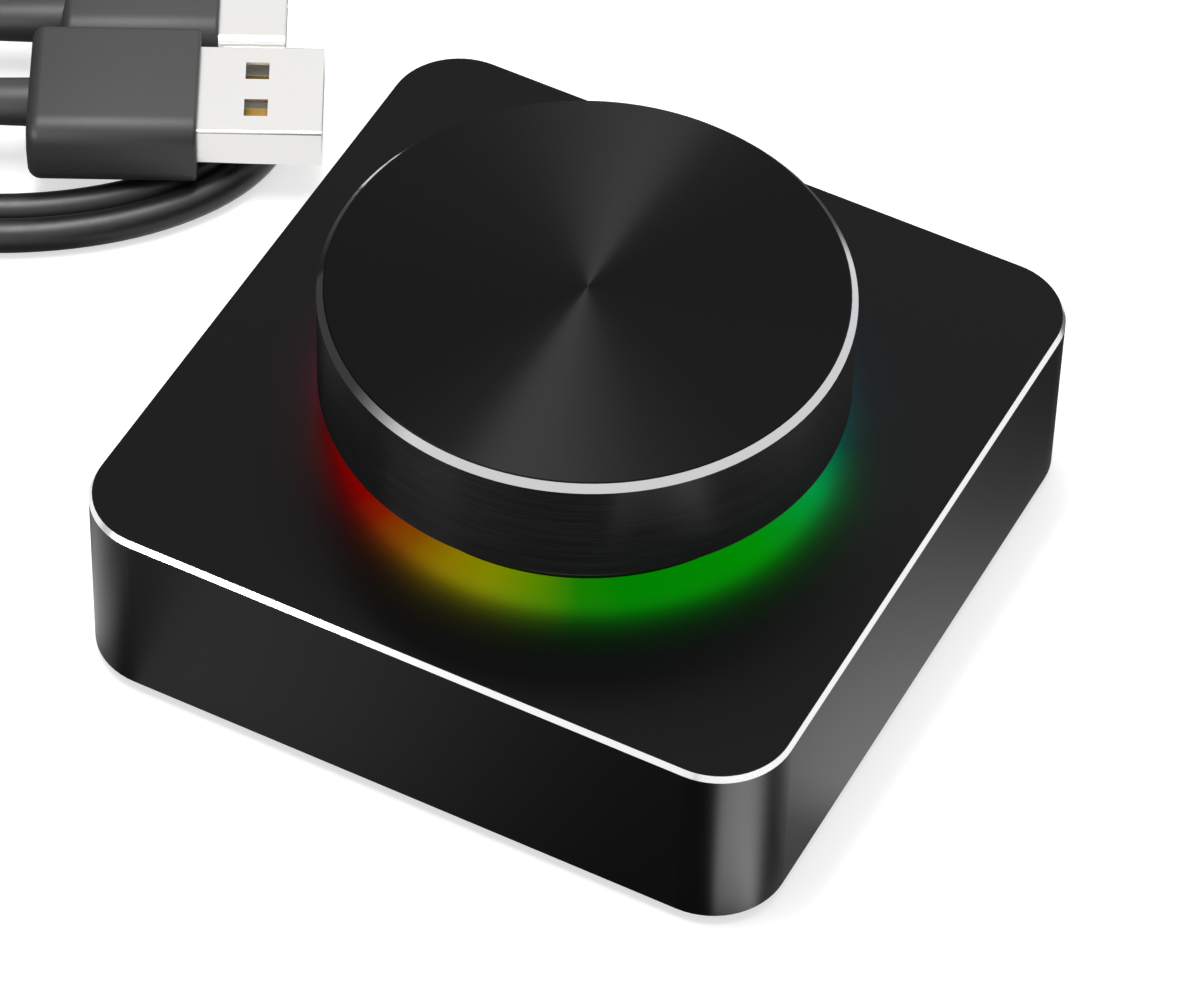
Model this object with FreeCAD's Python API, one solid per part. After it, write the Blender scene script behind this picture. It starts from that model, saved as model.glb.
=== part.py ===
"""USB volume control knob with push switch, light ring and a detached USB-C lead.

All sizes are in millimetres. The origin is on the table, under the middle of the square base.
+Z is up along the knob's axis, and +Y points out of the side that has the USB-C port.
Each sub-part is written to parts/NODE.step.
"""

import FreeCAD
import Part
import math
import os

# ---------------------------------------------------------------- driving dimensions: base
side = 70.0                 # width and depth of the square case
case_height = 19.5          # case without the feet
corner_radius = 7.1         # vertical corners of the case
case_wall = 2.4
top_thickness = 2.0
bevel_across = 0.35         # diamond-cut bevel round the top edge, measured inwards
bevel_down = 0.70           # and downwards
bottom_edge_break = 0.3
foot_height = 1.0           # how far the rubber feet stand out
foot_radius = 5.0
foot_recess = 0.6           # how deep they sit in the bottom cover
foot_inset = 12.5           # foot axis from the outside of the case
foot_edge_break = 0.35
cover_thickness = 1.6
cover_rebate = 1.2          # ledge in the wall that the bottom cover sits against
cover_gap = 0.15
cover_edge_break = 0.2
ballast_side = 42.0         # steel plate inside the cover
ballast_thickness = 3.0
ballast_corner = 4.0
pillar_radius = 3.6         # corner pillars that take the cover screws
pillar_inset = 5.8          # pillar axis from the outside of the case
boss_radius = 2.8           # bosses that carry the circuit board
boss_clearance = 3.23       # between the bosses and the light ring's flange

# ---------------------------------------------------------------- driving dimensions: light ring
opening_radius = 21.5       # round hole in the top of the case
opening_edge_break = 0.25
diffuser_gap = 0.12
diffuser_flange = 1.6       # how far the flange reaches under the case's top
diffuser_thickness = 1.6
diffuser_ring_width = 6.0
diffuser_proud = 0.5        # how far the ring stands above the case
diffuser_edge_break = 0.5
led_count = 12
led_size = 3.5
led_height = 1.5
led_window_radius = 1.4
led_window_depth = 0.6
led_inset = 3.9             # circle of the diodes, inside the edge of the opening
led_phase = 13.0            # degrees

# ---------------------------------------------------------------- driving dimensions: board
board_thickness = 1.6
board_edge_gap = 1.2
board_corner = 2.0
screw_diameter = 2.5        # M2.5
screw_head_radius = 2.3
screw_head_height = 1.5
screw_grip = 6.0            # length of a screw past what it holds
thread_gap = 0.05

# ---------------------------------------------------------------- driving dimensions: encoder
shaft_radius = 3.0
shaft_flat_depth = 1.5      # D-shaped end
shaft_key_radius = 2.0      # lower end, keyed in the rotor by two flats
shaft_key_flat = 1.45
shaft_top_above_case = 11.8
encoder_width = 11.7        # X
encoder_depth = 12.4        # Y
encoder_edge_break = 0.4
encoder_base_height = 4.0
encoder_housing_height = 2.6
bushing_wall = 0.5          # M7 bushing round the shaft
bushing_length = 5.4        # above the housing
yoke_thickness = 0.4
yoke_width = 9.0
lug_width = 2.0
nut_wall = 1.5              # from the bushing to a flat
nut_height = 2.0
washer_thickness = 0.5
washer_wall = 2.3
rotor_radius = 4.3
dome_radius = 2.4
dome_sheet = 0.12
dome_rise = 0.8
running_gap = 0.03
detent_count = 20
press_travel = 0.5

# ---------------------------------------------------------------- driving dimensions: knob
knob_radius = 24.4
knob_height = 11.75
knob_gap = 3.28             # between the knob's skirt and the case
knob_wall = 1.6
knob_top_thickness = 1.8
knob_bevel_across = 0.7
knob_bevel_down = 0.8
knob_edge_break = 0.25
core_gap = 0.05
core_rim_wall = 1.6
core_disc_thickness = 2.0
core_rim_inset = 1.2        # rim above the lower edge of the cap
hub_wall = 2.5
hub_slit = 0.8
rib_count = 6
rib_thickness = 1.4
clip_thickness = 0.45
clip_height = 3.0
clip_opening = 1.6

# ---------------------------------------------------------------- driving dimensions: USB-C port
port_width = 8.94
port_height = 3.26
port_depth = 7.35
port_sheet = 0.25
port_cutout_gap = 0.2
port_cutout_bevel = 0.35
port_recess = 1.0           # mouth of the receptacle behind the case's wall face
port_leg_width = 1.0
port_pin_count = 12         # contacts on each face of the tongue
port_pin_pitch = 0.5

# ---------------------------------------------------------------- driving dimensions: lead
cable_diameter = 3.4
hank_half_length = 50.2     # middle of the strand bundle, from the tie to either end
hank_half_waist = 10.1      # the same, sideways at the tie
hank_fullness = 0.60        # how far the two lobes swell sideways
hank_turn = 27.4            # degrees from +X to the direction in which the plugs point
hank_distance = 62.2        # from the side of the case to the tie
hank_y = 11.8
hank_sides = 36             # straight pieces in the outline of the hank
tie_wire = 1.1
tie_spacing = 4.2
tie_corner = 1.5
tie_gap = 0.05
rest_gap = 0.1              # between the plugs and the strands that they lie on
c_plug_side = 8.3           # plugs beside the hank's long axis
a_plug_side = -4.6
c_plug_start = 20.4         # where each strain relief begins, along the hank
a_plug_start = 17.9
lead_run = 4.6              # straight part of the lead before each strain relief
relief_wall = 0.7
relief_taper = 0.2
relief_length = 9.0
relief_edge_break = 0.3
c_body_size = (15.5, 9.0, 5.6)      # length, width, height
c_body_corner = 2.6
c_shell_size = (6.65, 8.25, 2.4)
a_body_size = (16.5, 15.6, 8.0)
a_body_corner = 2.2
a_shell_size = (12.1, 12.0, 4.5)
shell_sheet = 0.3
a_hole_size = 2.3
a_hole_spacing = 5.1
a_hole_setback = 7.6        # from the mouth to the far side of the holes
a_tongue_thickness = 1.9
a_tongue_setback = 0.6

# ---------------------------------------------------------------- levels and places that follow
case_bottom = foot_height
case_top = case_bottom + case_height
plate_under = case_top - top_thickness
cover_inside = case_bottom + cover_thickness
web_top = plate_under
web_under = web_top - diffuser_thickness
yoke_top = web_under
housing_top = yoke_top - yoke_thickness
base_top = housing_top - encoder_housing_height
board_top = base_top - encoder_base_height
board_under = board_top - board_thickness
inner_half = side / 2 - case_wall
pillar_offset = side / 2 - pillar_inset
foot_offset = side / 2 - foot_inset
boss_offset = (opening_radius + diffuser_flange + boss_clearance + boss_radius) / math.sqrt(2)
led_circle = opening_radius - led_inset
bushing_radius = shaft_radius + bushing_wall
bushing_top = housing_top + bushing_length
nut_across_flats = 2 * (bushing_radius + nut_wall)
knob_bottom = case_top + knob_gap
knob_top = knob_bottom + knob_height
core_top = knob_top - knob_top_thickness
core_disc_low = core_top - core_disc_thickness
hub_radius = shaft_radius + hub_wall
hub_low = bushing_top + press_travel + 0.5
clip_low = hub_low + 0.5
rib_low = clip_low + clip_height + 0.8
shaft_top = case_top + shaft_top_above_case
port_middle = board_top + port_height / 2
port_mouth = side / 2 - port_recess
port_back = port_mouth - port_depth
dome_low = board_top + 0.5
dome_high = dome_low + dome_rise
rotor_low = board_top + 1.9
rotor_high = base_top + 0.7
shoulder = base_top + 0.9 + press_travel
relief_radius = cable_diameter / 2 + relief_wall
hank_x = -side / 2 - hank_distance
c_plug_height = cable_diameter + rest_gap + c_body_size[2] / 2
a_plug_height = cable_diameter + rest_gap + a_body_size[2] / 2
bundle_height = cable_diameter * (1 + math.sqrt(3) / 2)     # two strands with a third in their groove
lead_start = tie_spacing / 2 + tie_wire


# ---------------------------------------------------------------- small helpers
def vec(x, y, z=0.0):
    return FreeCAD.Vector(x, y, z)


def export(node, *shapes):
    """Write one sub-part, checked to be whole, as one solid or a group of solids."""
    solids = [solid for shape in shapes for solid in shape.Solids]
    shape = solids[0] if len(solids) == 1 else Part.makeCompound(solids)
    if not solids or not shape.isValid() or min(solid.Volume for solid in solids) <= 0:
        raise ValueError("bad shape in " + node)
    shape.exportStep("parts/" + node + ".step")
    print(f"{node:22s} {len(solids):3d} solid(s) {shape.Volume:10.2f} mm3")


def disc(radius, z_low, z_high, x=0.0, y=0.0):
    return Part.makeCylinder(radius, z_high - z_low, vec(x, y, z_low))


def ring(outer, inner, z_low, z_high, x=0.0, y=0.0):
    return disc(outer, z_low, z_high, x, y).cut(disc(inner, z_low - 1, z_high + 1, x, y))


def block(size, centre, z_low, z_high):
    """Upright box of size (x, y), centred on (x, y)."""
    corner = vec(centre[0] - size[0] / 2, centre[1] - size[1] / 2, z_low)
    return Part.makeBox(size[0], size[1], z_high - z_low, corner)


def rounded_rectangle(width, depth, radius, z=0.0):
    """Closed wire about the Z axis, with an arc at each corner."""
    half_x = width / 2
    half_y = depth / 2
    corners = [(half_x, half_y, 0), (-half_x, half_y, 90), (-half_x, -half_y, 180), (half_x, -half_y, 270)]
    arcs = []
    for x, y, start in corners:
        cx = x - math.copysign(radius, x)
        cy = y - math.copysign(radius, y)
        points = [vec(cx + radius * math.cos(math.radians(start + step)),
                      cy + radius * math.sin(math.radians(start + step)), z) for step in (0, 45, 90)]
        arcs.append(points)
    edges = []
    for index, points in enumerate(arcs):
        edges.append(Part.Arc(*points).toShape())
        following = arcs[(index + 1) % 4]
        if points[2].distanceToPoint(following[0]) > 1e-6:
            edges.append(Part.makeLine(points[2], following[0]))
    return Part.Wire(edges)


def rounded_prism(width, depth, radius, z_low, z_high):
    face = Part.Face(rounded_rectangle(width, depth, radius, z_low))
    return face.extrude(vec(0, 0, z_high - z_low))


def obround_prism(width, height, z_low, z_high):
    """Prism with two flat and two round sides, as the USB-C shells have."""
    return rounded_prism(width, height, height / 2 - 0.001, z_low, z_high)


def polygon_prism(sides, radius, z_low, z_high):
    """Upright prism on a regular polygon about the Z axis. The radius is to its corners."""
    step = 2 * math.pi / sides
    points = [vec(radius * math.cos(step * i), radius * math.sin(step * i), z_low) for i in range(sides)]
    return Part.Face(Part.makePolygon(points + points[:1])).extrude(vec(0, 0, z_high - z_low))


def revolved(profile):
    """Solid of revolution about the Z axis from (radius, z) corners."""
    points = [vec(r, 0, z) for r, z in profile]
    face = Part.Face(Part.makePolygon(points + points[:1]))
    return face.revolve(vec(0, 0, 0), vec(0, 0, 1), 360)


def edges_at(shape, z, radius=None):
    """Edges that lie in the plane at z, all of them or only the circles of one radius."""
    found = []
    for edge in shape.Edges:
        box = edge.BoundBox
        if abs(box.ZMin - z) > 1e-4 or abs(box.ZMax - z) > 1e-4:
            continue
        round_edge = isinstance(edge.Curve, Part.Circle)
        if radius is None or (round_edge and abs(edge.Curve.Radius - radius) < 1e-4):
            found.append(edge)
    return found


def upright_edges(shape, height):
    return [edge for edge in shape.Edges if abs(edge.BoundBox.ZLength - height) < 1e-4]


def four_corners(offset):
    return [(sx * offset, sy * offset) for sx in (1, -1) for sy in (1, -1)]


def copies(shape, places):
    made = []
    for x, y in places:
        copy = shape.copy()
        copy.translate(vec(x, y, 0))
        made.append(copy)
    return made


def round_the_axis(shape, radius, angles):
    """Copies of a shape drawn at the origin, moved out to a circle and turned to each angle."""
    made = []
    for angle in angles:
        copy = shape.copy()
        copy.translate(vec(radius, 0, 0))
        copy.rotate(vec(0, 0, 0), vec(0, 0, 1), angle)
        made.append(copy)
    return made


def joined(shapes):
    return shapes[0].multiFuse(shapes[1:]).removeSplitter()


def facing_y(shape, y, z):
    """Turn a shape that was drawn flat on XY so that its +Z points along +Y, then place it."""
    shape = shape.copy()
    shape.rotate(vec(0, 0, 0), vec(1, 0, 0), -90)
    shape.translate(vec(0, y, z))
    return shape


# ---------------------------------------------------------------- base
def case_body():
    """Outside of the case: a rounded square block with a cut bevel round its top edge."""
    bevel_start = case_top - bevel_down
    body = rounded_prism(side, side, corner_radius, case_bottom, bevel_start)
    body = body.makeChamfer(bottom_edge_break, edges_at(body, case_bottom))
    lower = rounded_rectangle(side, side, corner_radius, bevel_start)
    top_side = side - 2 * bevel_across
    upper = rounded_rectangle(top_side, top_side, corner_radius - bevel_across, case_top)
    return body.fuse(Part.makeLoft([lower, upper], True, True))


def port_cutout():
    """Round-ended hole through the wall for the USB-C plug, with a small bevel outside."""
    width = port_width + 2 * port_cutout_gap
    height = port_height + 2 * port_cutout_gap
    bevel = port_cutout_bevel
    reach = case_wall + 2
    hole = obround_prism(width, height, 0, reach + 1)
    small = rounded_rectangle(width, height, height / 2 - 0.001, reach - bevel)
    large = rounded_rectangle(width + 2 * bevel, height + 2 * bevel, height / 2 + bevel - 0.001, reach)
    flare = Part.makeLoft([small, large], True, True)
    return facing_y(hole.fuse(flare), side / 2 - reach, port_middle)


def case_shell():
    """Milled aluminium case, open below, with screw pillars and board bosses under its top."""
    rebate_side = side - 2 * (case_wall - cover_rebate)
    rebate_radius = corner_radius - (case_wall - cover_rebate)
    inner_side = 2 * inner_half
    merge = 0.5
    shell = case_body()
    shell = shell.cut(rounded_prism(inner_side, inner_side, corner_radius - case_wall, 0, plate_under))
    shell = shell.cut(rounded_prism(rebate_side, rebate_side, rebate_radius, 0, cover_inside))
    pillar = disc(pillar_radius, cover_inside, plate_under + merge)
    boss = disc(boss_radius, board_top, plate_under + merge)
    posts = copies(pillar, four_corners(pillar_offset)) + copies(boss, four_corners(boss_offset))
    shell = joined([shell] + posts)
    pilot = screw_diameter / 2 + thread_gap
    pillar_hole = disc(pilot, 0, cover_inside + screw_grip + 3)
    boss_hole = disc(pilot, board_top - 1, plate_under - 0.6)
    holes = copies(pillar_hole, four_corners(pillar_offset)) + copies(boss_hole, four_corners(boss_offset))
    for hole in holes:
        shell = shell.cut(hole)
    shell = shell.cut(disc(opening_radius, plate_under - 1, case_top + 1))
    shell = shell.cut(port_cutout())
    return shell.makeChamfer(opening_edge_break, edges_at(shell, case_top, opening_radius))


def bottom_cover():
    """Flat cover with round recesses for the feet and countersunk screw holes."""
    cover_side = side - 2 * (case_wall - cover_rebate) - 2 * cover_gap
    radius = corner_radius - (case_wall - cover_rebate) - cover_gap
    cover = rounded_prism(cover_side, cover_side, radius, case_bottom, cover_inside)
    cover = cover.makeChamfer(cover_edge_break, edges_at(cover, case_bottom))
    hole = screw_diameter / 2 + 0.2
    sink = screw_head_radius + 0.15
    screw_hole = disc(hole, case_bottom - 1, cover_inside + 1)
    screw_hole = screw_hole.fuse(Part.makeCone(sink, hole, sink - hole, vec(0, 0, case_bottom)))
    foot_hole = disc(foot_radius + 0.1, 0, case_bottom + foot_recess)
    for cut in copies(screw_hole, four_corners(pillar_offset)) + copies(foot_hole, four_corners(foot_offset)):
        cover = cover.cut(cut)
    return cover


def rubber_feet():
    foot = disc(foot_radius, 0, case_bottom + foot_recess)
    foot = foot.makeChamfer(foot_edge_break, edges_at(foot, 0))
    return copies(foot, four_corners(foot_offset))


def ballast_plate():
    """Steel plate glued inside the cover, so that the knob doesn't slide about."""
    top = cover_inside + ballast_thickness
    plate = rounded_prism(ballast_side, ballast_side, ballast_corner, cover_inside, top)
    return plate.makeChamfer(0.4, edges_at(plate, top))


def cover_screws():
    """Countersunk screws with a cross slot, heads down in the bottom cover."""
    shank = screw_diameter / 2
    sink_height = screw_head_radius - shank
    head_low = case_bottom + 0.1
    slot_length = 2.4
    slot_width = 0.6
    slot_depth = 0.7
    head = Part.makeCone(screw_head_radius, shank, sink_height, vec(0, 0, head_low))
    screw = head.fuse(disc(shank, head_low, cover_inside + screw_grip + 1.5)).removeSplitter()
    for size in ((slot_length, slot_width), (slot_width, slot_length)):
        screw = screw.cut(block(size, (0, 0), head_low - 1, head_low + slot_depth))
    return copies(screw, four_corners(pillar_offset))


def board_screws():
    """Flat-headed screws that hold the board against its bosses, heads down."""
    head_low = board_under - screw_head_height
    head = disc(screw_head_radius, head_low, board_under)
    screw = head.fuse(disc(screw_diameter / 2, board_under, board_top + screw_grip)).removeSplitter()
    return copies(screw, four_corners(boss_offset))


# ---------------------------------------------------------------- light ring and board
def light_diffuser():
    """Milky dish: flange under the case, a ring proud of the opening, a web for the encoder."""
    bore = bushing_radius + 0.15
    outer = opening_radius - diffuser_gap
    flange = opening_radius + diffuser_flange
    ring_inner = outer - diffuser_ring_width
    top = case_top + diffuser_proud
    edge = diffuser_edge_break
    profile = [
        (bore, web_under), (flange, web_under), (flange, web_top), (outer, web_top),
        (outer, top - edge), (outer - edge, top), (ring_inner + edge, top), (ring_inner, top - edge),
        (ring_inner, web_top), (bore, web_top),
    ]
    return revolved(profile)


def led_angles():
    return [led_phase + 360 / led_count * index for index in range(led_count)]


def rgb_leds():
    """Square packages with a sunk window, evenly round the axis below the diffuser."""
    top = board_top + led_height
    package = block((led_size, led_size), (0, 0), board_top, top)
    package = package.cut(polygon_prism(8, led_window_radius, top - led_window_depth, top + 1))
    return round_the_axis(package, led_circle, led_angles())


def ceramic_capacitors():
    """One small decoupling capacitor between each pair of diodes."""
    length = 1.6
    width = 0.8
    body = block((width, length), (0, 0), board_top, board_top + width)
    return round_the_axis(body, led_circle, [angle + 180 / led_count for angle in led_angles()])


def terminal_places():
    """Encoder terminals: three on the -Y side and two on the +Y side."""
    pitch = 2.5
    y = encoder_depth / 2 + 0.2
    return [(-pitch, -y), (0, -y), (pitch, -y), (-pitch, y), (pitch, y)]


def port_leg_places():
    """Legs of the receptacle's shell, in pairs near its mouth and near its back."""
    x = port_width / 2 - port_sheet / 2
    return [(sx * x, y) for sx in (1, -1) for y in (port_mouth - 2.2, port_back + 1.2)]


def main_board():
    """Printed circuit board, notched round the screw pillars and drilled for what it carries."""
    board_side = 2 * (inner_half - board_edge_gap)
    board = rounded_prism(board_side, board_side, board_corner, board_under, board_top)
    low = board_under - 1
    high = board_top + 1
    pillar_notch = disc(pillar_radius + 0.6, low, high)
    screw_hole = disc(screw_diameter / 2 + 0.15, low, high)
    lug_x = encoder_width / 2 + yoke_thickness / 2 + 0.05
    cuts = copies(pillar_notch, four_corners(pillar_offset)) + copies(screw_hole, four_corners(boss_offset))
    cuts += [block((1.1, 0.6), place, low, high) for place in terminal_places()]
    cuts += [block((port_sheet + 0.2, port_leg_width + 0.4), place, low, high) for place in port_leg_places()]
    cuts += [block((yoke_thickness + 0.2, lug_width + 0.4), (sx * lug_x, 0), low, high) for sx in (1, -1)]
    for cut in cuts:
        board = board.cut(cut)
    return board


def controller_chip():
    """Small-outline controller with two rows of bent legs, on the underside of the board."""
    x = -24.0
    y = 3.0
    width = 3.9
    length = 9.9
    thickness = 1.4
    standoff = 0.15
    pitch = 1.27
    legs_a_side = 8
    leg_width = 0.4
    low = board_under - standoff - thickness
    body = rounded_prism(width, length, 0.2, low, board_under - standoff)
    body.translate(vec(x, y, 0))
    body = body.makeChamfer(0.15, edges_at(body, low))
    half = width / 2
    leg_profile = [
        (half, 0.95), (2.5, 0.95), (2.5, 0.2), (3.1, 0.2), (3.1, 0.0), (2.3, 0.0), (2.3, 0.75), (half, 0.75),
    ]
    legs = []
    for mirror in (1, -1):
        for index in range(legs_a_side):
            leg_y = y + pitch * (index - (legs_a_side - 1) / 2) - leg_width / 2
            points = [vec(x + mirror * px, leg_y, board_under - depth) for px, depth in leg_profile]
            face = Part.Face(Part.makePolygon(points + points[:1]))
            legs.append(face.extrude(vec(0, leg_width, 0)))
    return [body] + legs


def protection_chip():
    """Surge protector for the port's data lines, under the board behind the receptacle."""
    low = board_under - 1.1
    body = block((2.9, 1.6), (0, port_back), low, board_under)
    return body.makeChamfer(0.2, edges_at(body, low))


def chip_resistors():
    """Two pull-down and two series resistors, beside the receptacle."""
    x = port_width / 2 + 1.8
    places = [(sx * x, port_back + y) for sx in (1, -1) for y in (1.0, 3.4)]
    return [block((0.8, 1.6), place, board_top, board_top + 0.5) for place in places]


def bulk_capacitor():
    """Aluminium can capacitor on its square plastic foot."""
    x = -26.5
    y = 13.5
    foot_side = 5.3
    foot_top = board_top + 1.0
    can_top = board_top + 5.2
    foot = rounded_prism(foot_side, foot_side, 0.8, board_top, foot_top)
    foot.translate(vec(x, y, 0))
    can = disc(2.5, foot_top, can_top, x, y)
    can = can.makeChamfer(0.3, edges_at(can, can_top))
    return foot.fuse(can)


# ---------------------------------------------------------------- USB-C receptacle
def usb_c_receptacle_shell():
    """Drawn steel shell, closed behind, with four legs soldered through the board."""
    inside_width = port_width - 2 * port_sheet
    inside_height = port_height - 2 * port_sheet
    tube = obround_prism(port_width, port_height, 0, port_depth)
    tube = tube.cut(obround_prism(inside_width, inside_height, port_sheet, port_depth + 1))
    shell = facing_y(tube, port_back, port_middle)
    leg_low = board_under - 0.7
    legs = [block((port_sheet, port_leg_width), place, leg_low, port_middle) for place in port_leg_places()]
    return joined([shell] + legs)


def usb_c_tongue():
    """Plastic block at the back of the receptacle with the contact tongue."""
    clearance = 0.05
    width = port_width - 2 * (port_sheet + clearance)
    height = port_height - 2 * (port_sheet + clearance)
    block_end = 2.4
    tongue_end = 6.6
    back = obround_prism(width, height, port_sheet, block_end)
    tongue = rounded_prism(6.69, 0.7, 0.15, block_end - 0.4, tongue_end)
    return facing_y(back.fuse(tongue).removeSplitter(), port_back, port_middle)


def usb_c_contacts():
    """Gold contacts in a row on each face of the tongue."""
    y = port_back + 2.45
    length = 3.6
    half_thickness = 0.02
    made = []
    for face in (1, -1):
        z = port_middle + face * 0.375
        for index in range(port_pin_count):
            x = (index - (port_pin_count - 1) / 2) * port_pin_pitch
            made.append(block((0.25, length), (x, y + length / 2), z - half_thickness, z + half_thickness))
    return made


# ---------------------------------------------------------------- encoder
def encoder_base():
    """Plastic base with the rotor's round well and the pocket of the push switch."""
    base = block((encoder_width, encoder_depth), (0, 0), board_top, base_top)
    base = base.makeChamfer(encoder_edge_break, upright_edges(base, encoder_base_height))
    base = base.cut(disc(rotor_radius + 0.4, rotor_low - 0.2, base_top + 1))
    return base.cut(disc(dome_radius + 0.3, dome_low, base_top + 1))


def encoder_housing():
    """Die-cast cover with the bushing that the shaft turns in."""
    housing = block((encoder_width, encoder_depth), (0, 0), base_top, housing_top)
    housing = housing.makeChamfer(encoder_edge_break, upright_edges(housing, encoder_housing_height))
    bushing = disc(bushing_radius, housing_top, bushing_top)
    bushing = bushing.makeChamfer(0.4, edges_at(bushing, bushing_top))
    housing = housing.fuse(bushing).removeSplitter()
    housing = housing.cut(disc(rotor_radius + 0.3, base_top - 1, base_top + 1.2))
    return housing.cut(disc(shaft_radius + running_gap, base_top - 1, bushing_top + 1))


def encoder_yoke():
    """Sheet-steel strap over the housing, its two lugs soldered through the board."""
    span = encoder_width + 2 * yoke_thickness + 0.1
    strap_low = base_top - 2.2
    lug_low = board_under - 1.2
    top = block((span, yoke_width), (0, 0), housing_top, yoke_top)
    pieces = [top.cut(disc(bushing_radius + 0.1, housing_top - 1, yoke_top + 1))]
    x = span / 2 - yoke_thickness / 2
    for sx in (1, -1):
        pieces.append(block((yoke_thickness, yoke_width), (sx * x, 0), strap_low, housing_top))
        pieces.append(block((yoke_thickness, lug_width), (sx * x, 0), lug_low, strap_low))
    return joined(pieces)


def encoder_terminals():
    """Five straight terminals beside the base."""
    return [block((0.8, 0.3), place, board_under - 1.3, board_top + 2.0) for place in terminal_places()]


def encoder_washer():
    return ring(bushing_radius + washer_wall, bushing_radius + 0.1, web_top, web_top + washer_thickness)


def encoder_nut():
    """Thin hexagon nut with its corners turned off at the top."""
    low = web_top + washer_thickness
    high = low + nut_height
    corner = nut_across_flats / math.sqrt(3)
    slope = 0.5
    turned = revolved([(0, low), (corner + 0.1, low), (corner + 0.1, high - slope),
                       (nut_across_flats / 2 - 0.1, high), (0, high)])
    nut = polygon_prism(6, corner, low, high).common(turned)
    return nut.cut(disc(bushing_radius + thread_gap, low - 1, high + 1))


def double_flat(radius, flat, z_low, z_high):
    """Round bar with two flats, facing +Y and -Y."""
    bar = disc(radius, z_low, z_high)
    return bar.common(block((4 * radius, 2 * flat), (0, 0), z_low, z_high))


def encoder_rotor():
    """Code wheel: keyed on the shaft, with a crown of detent notches on its upper face."""
    notch_length = 1.4
    notch_width = 0.5
    rotor = disc(rotor_radius, rotor_low, rotor_high)
    notch = Part.makeBox(notch_length, notch_width, notch_width, vec(0, -notch_width / 2, -notch_width / 2))
    notch.rotate(vec(0, 0, 0), vec(1, 0, 0), 45)
    notch.translate(vec(0, 0, rotor_high + 0.1))
    angles = [360 / detent_count * index for index in range(detent_count)]
    for cut in round_the_axis(notch, rotor_radius - 1.1, angles):
        rotor = rotor.cut(cut)
    key = double_flat(shaft_key_radius + 0.05, shaft_key_flat + 0.05, rotor_low - 1, rotor_high + 1)
    return rotor.cut(key)


def contact_wiper():
    """Bronze brush under the rotor: a thin ring with three fingers."""
    sheet = 0.1
    inside = shaft_key_radius + 0.4
    outside = shaft_key_radius + 1.0
    finger = Part.makeBox(rotor_radius - outside, 0.6, sheet, vec(0, -0.3, rotor_low - sheet))
    fingers = round_the_axis(finger, outside - 0.2, [0, 120, 240])
    return joined([ring(outside, inside, rotor_low - sheet, rotor_low)] + fingers)


def detent_spring():
    """Flat spring ring that clicks over the rotor's crown."""
    low = base_top + 1.0
    return ring(rotor_radius + 0.2, rotor_radius - 0.8, low, low + 0.2)


def switch_dome():
    """Snap dome below the shaft: a thin spherical cap standing on its rim."""
    sphere = (dome_radius ** 2 + dome_rise ** 2) / (2 * dome_rise)
    centre = vec(0, 0, dome_high - sphere)
    cap = Part.makeSphere(sphere, centre).cut(Part.makeSphere(sphere - dome_sheet, centre))
    return cap.common(disc(dome_radius + 1, dome_low, dome_high + 1))


def encoder_shaft():
    """Steel shaft: keyed foot in the rotor, round in the bushing, D-shaped in the knob."""
    foot = double_flat(shaft_key_radius, shaft_key_flat, dome_high + 0.05, shoulder)
    shaft = foot.fuse(disc(shaft_radius, shoulder, shaft_top))
    flat_start = hub_low - 0.1
    keep = shaft_radius - shaft_flat_depth
    shaft = shaft.cut(Part.makeBox(10, 20, shaft_top, vec(keep, -10, flat_start)))
    round_edge = [e for e in edges_at(shaft, shaft_top) if isinstance(e.Curve, Part.Circle)]
    return shaft.makeChamfer(0.3, round_edge)


# ---------------------------------------------------------------- knob
def knob_cap():
    """Turned aluminium cap with a cut bevel round its top and a thin skirt."""
    inner = knob_radius - knob_wall
    edge = knob_edge_break
    profile = [
        (0, core_top), (inner, core_top), (inner, knob_bottom + edge), (inner + edge, knob_bottom),
        (knob_radius - edge, knob_bottom), (knob_radius, knob_bottom + edge),
        (knob_radius, knob_top - knob_bevel_down), (knob_radius - knob_bevel_across, knob_top), (0, knob_top),
    ]
    return revolved(profile)


def hub_bore():
    """Cutter for the D-shaped hole that the shaft is pressed into."""
    gap = 0.03
    bore = disc(shaft_radius + gap, hub_low - 1, shaft_top + 0.3)
    keep = shaft_radius - shaft_flat_depth + gap
    return bore.cut(Part.makeBox(10, 20, shaft_top, vec(keep, -10, hub_low - 5)))


def knob_core():
    """Moulded insert: disc, rim and ribs round a split hub with a D-shaped bore."""
    rim = knob_radius - knob_wall - core_gap
    merge = 0.5
    joint = core_disc_low + merge
    pieces = [
        disc(rim, core_disc_low, core_top),
        ring(rim, rim - core_rim_wall, knob_bottom + core_rim_inset, joint),
        disc(hub_radius, hub_low, joint),
    ]
    rib_corner = vec(-merge, -rib_thickness / 2, rib_low)
    rib = Part.makeBox(rim - hub_radius, rib_thickness, joint - rib_low, rib_corner)
    pieces += round_the_axis(rib, hub_radius, [360 / rib_count * (index + 0.5) for index in range(rib_count)])
    slit = block((2 * hub_radius + 2, hub_slit), (0, 0), hub_low - 1, rib_low - 0.3)
    return joined(pieces).cut(hub_bore()).cut(slit)


def hub_clip():
    """Spring clip that squeezes the split hub on the shaft: a ring with an opening."""
    inner = hub_radius + 0.02
    clip = ring(inner + clip_thickness, inner, clip_low, clip_low + clip_height)
    return clip.cut(Part.makeBox(10, clip_opening, clip_height + 2, vec(0, -clip_opening / 2, clip_low - 1)))


# ---------------------------------------------------------------- detached lead
def in_hank(shape):
    """Move a shape drawn along +X from the tie at the origin to where the lead lies."""
    shape = shape.copy()
    shape.rotate(vec(0, 0, 0), vec(0, 0, 1), hank_turn)
    shape.translate(vec(hank_x, hank_y, 0))
    return shape


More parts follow.
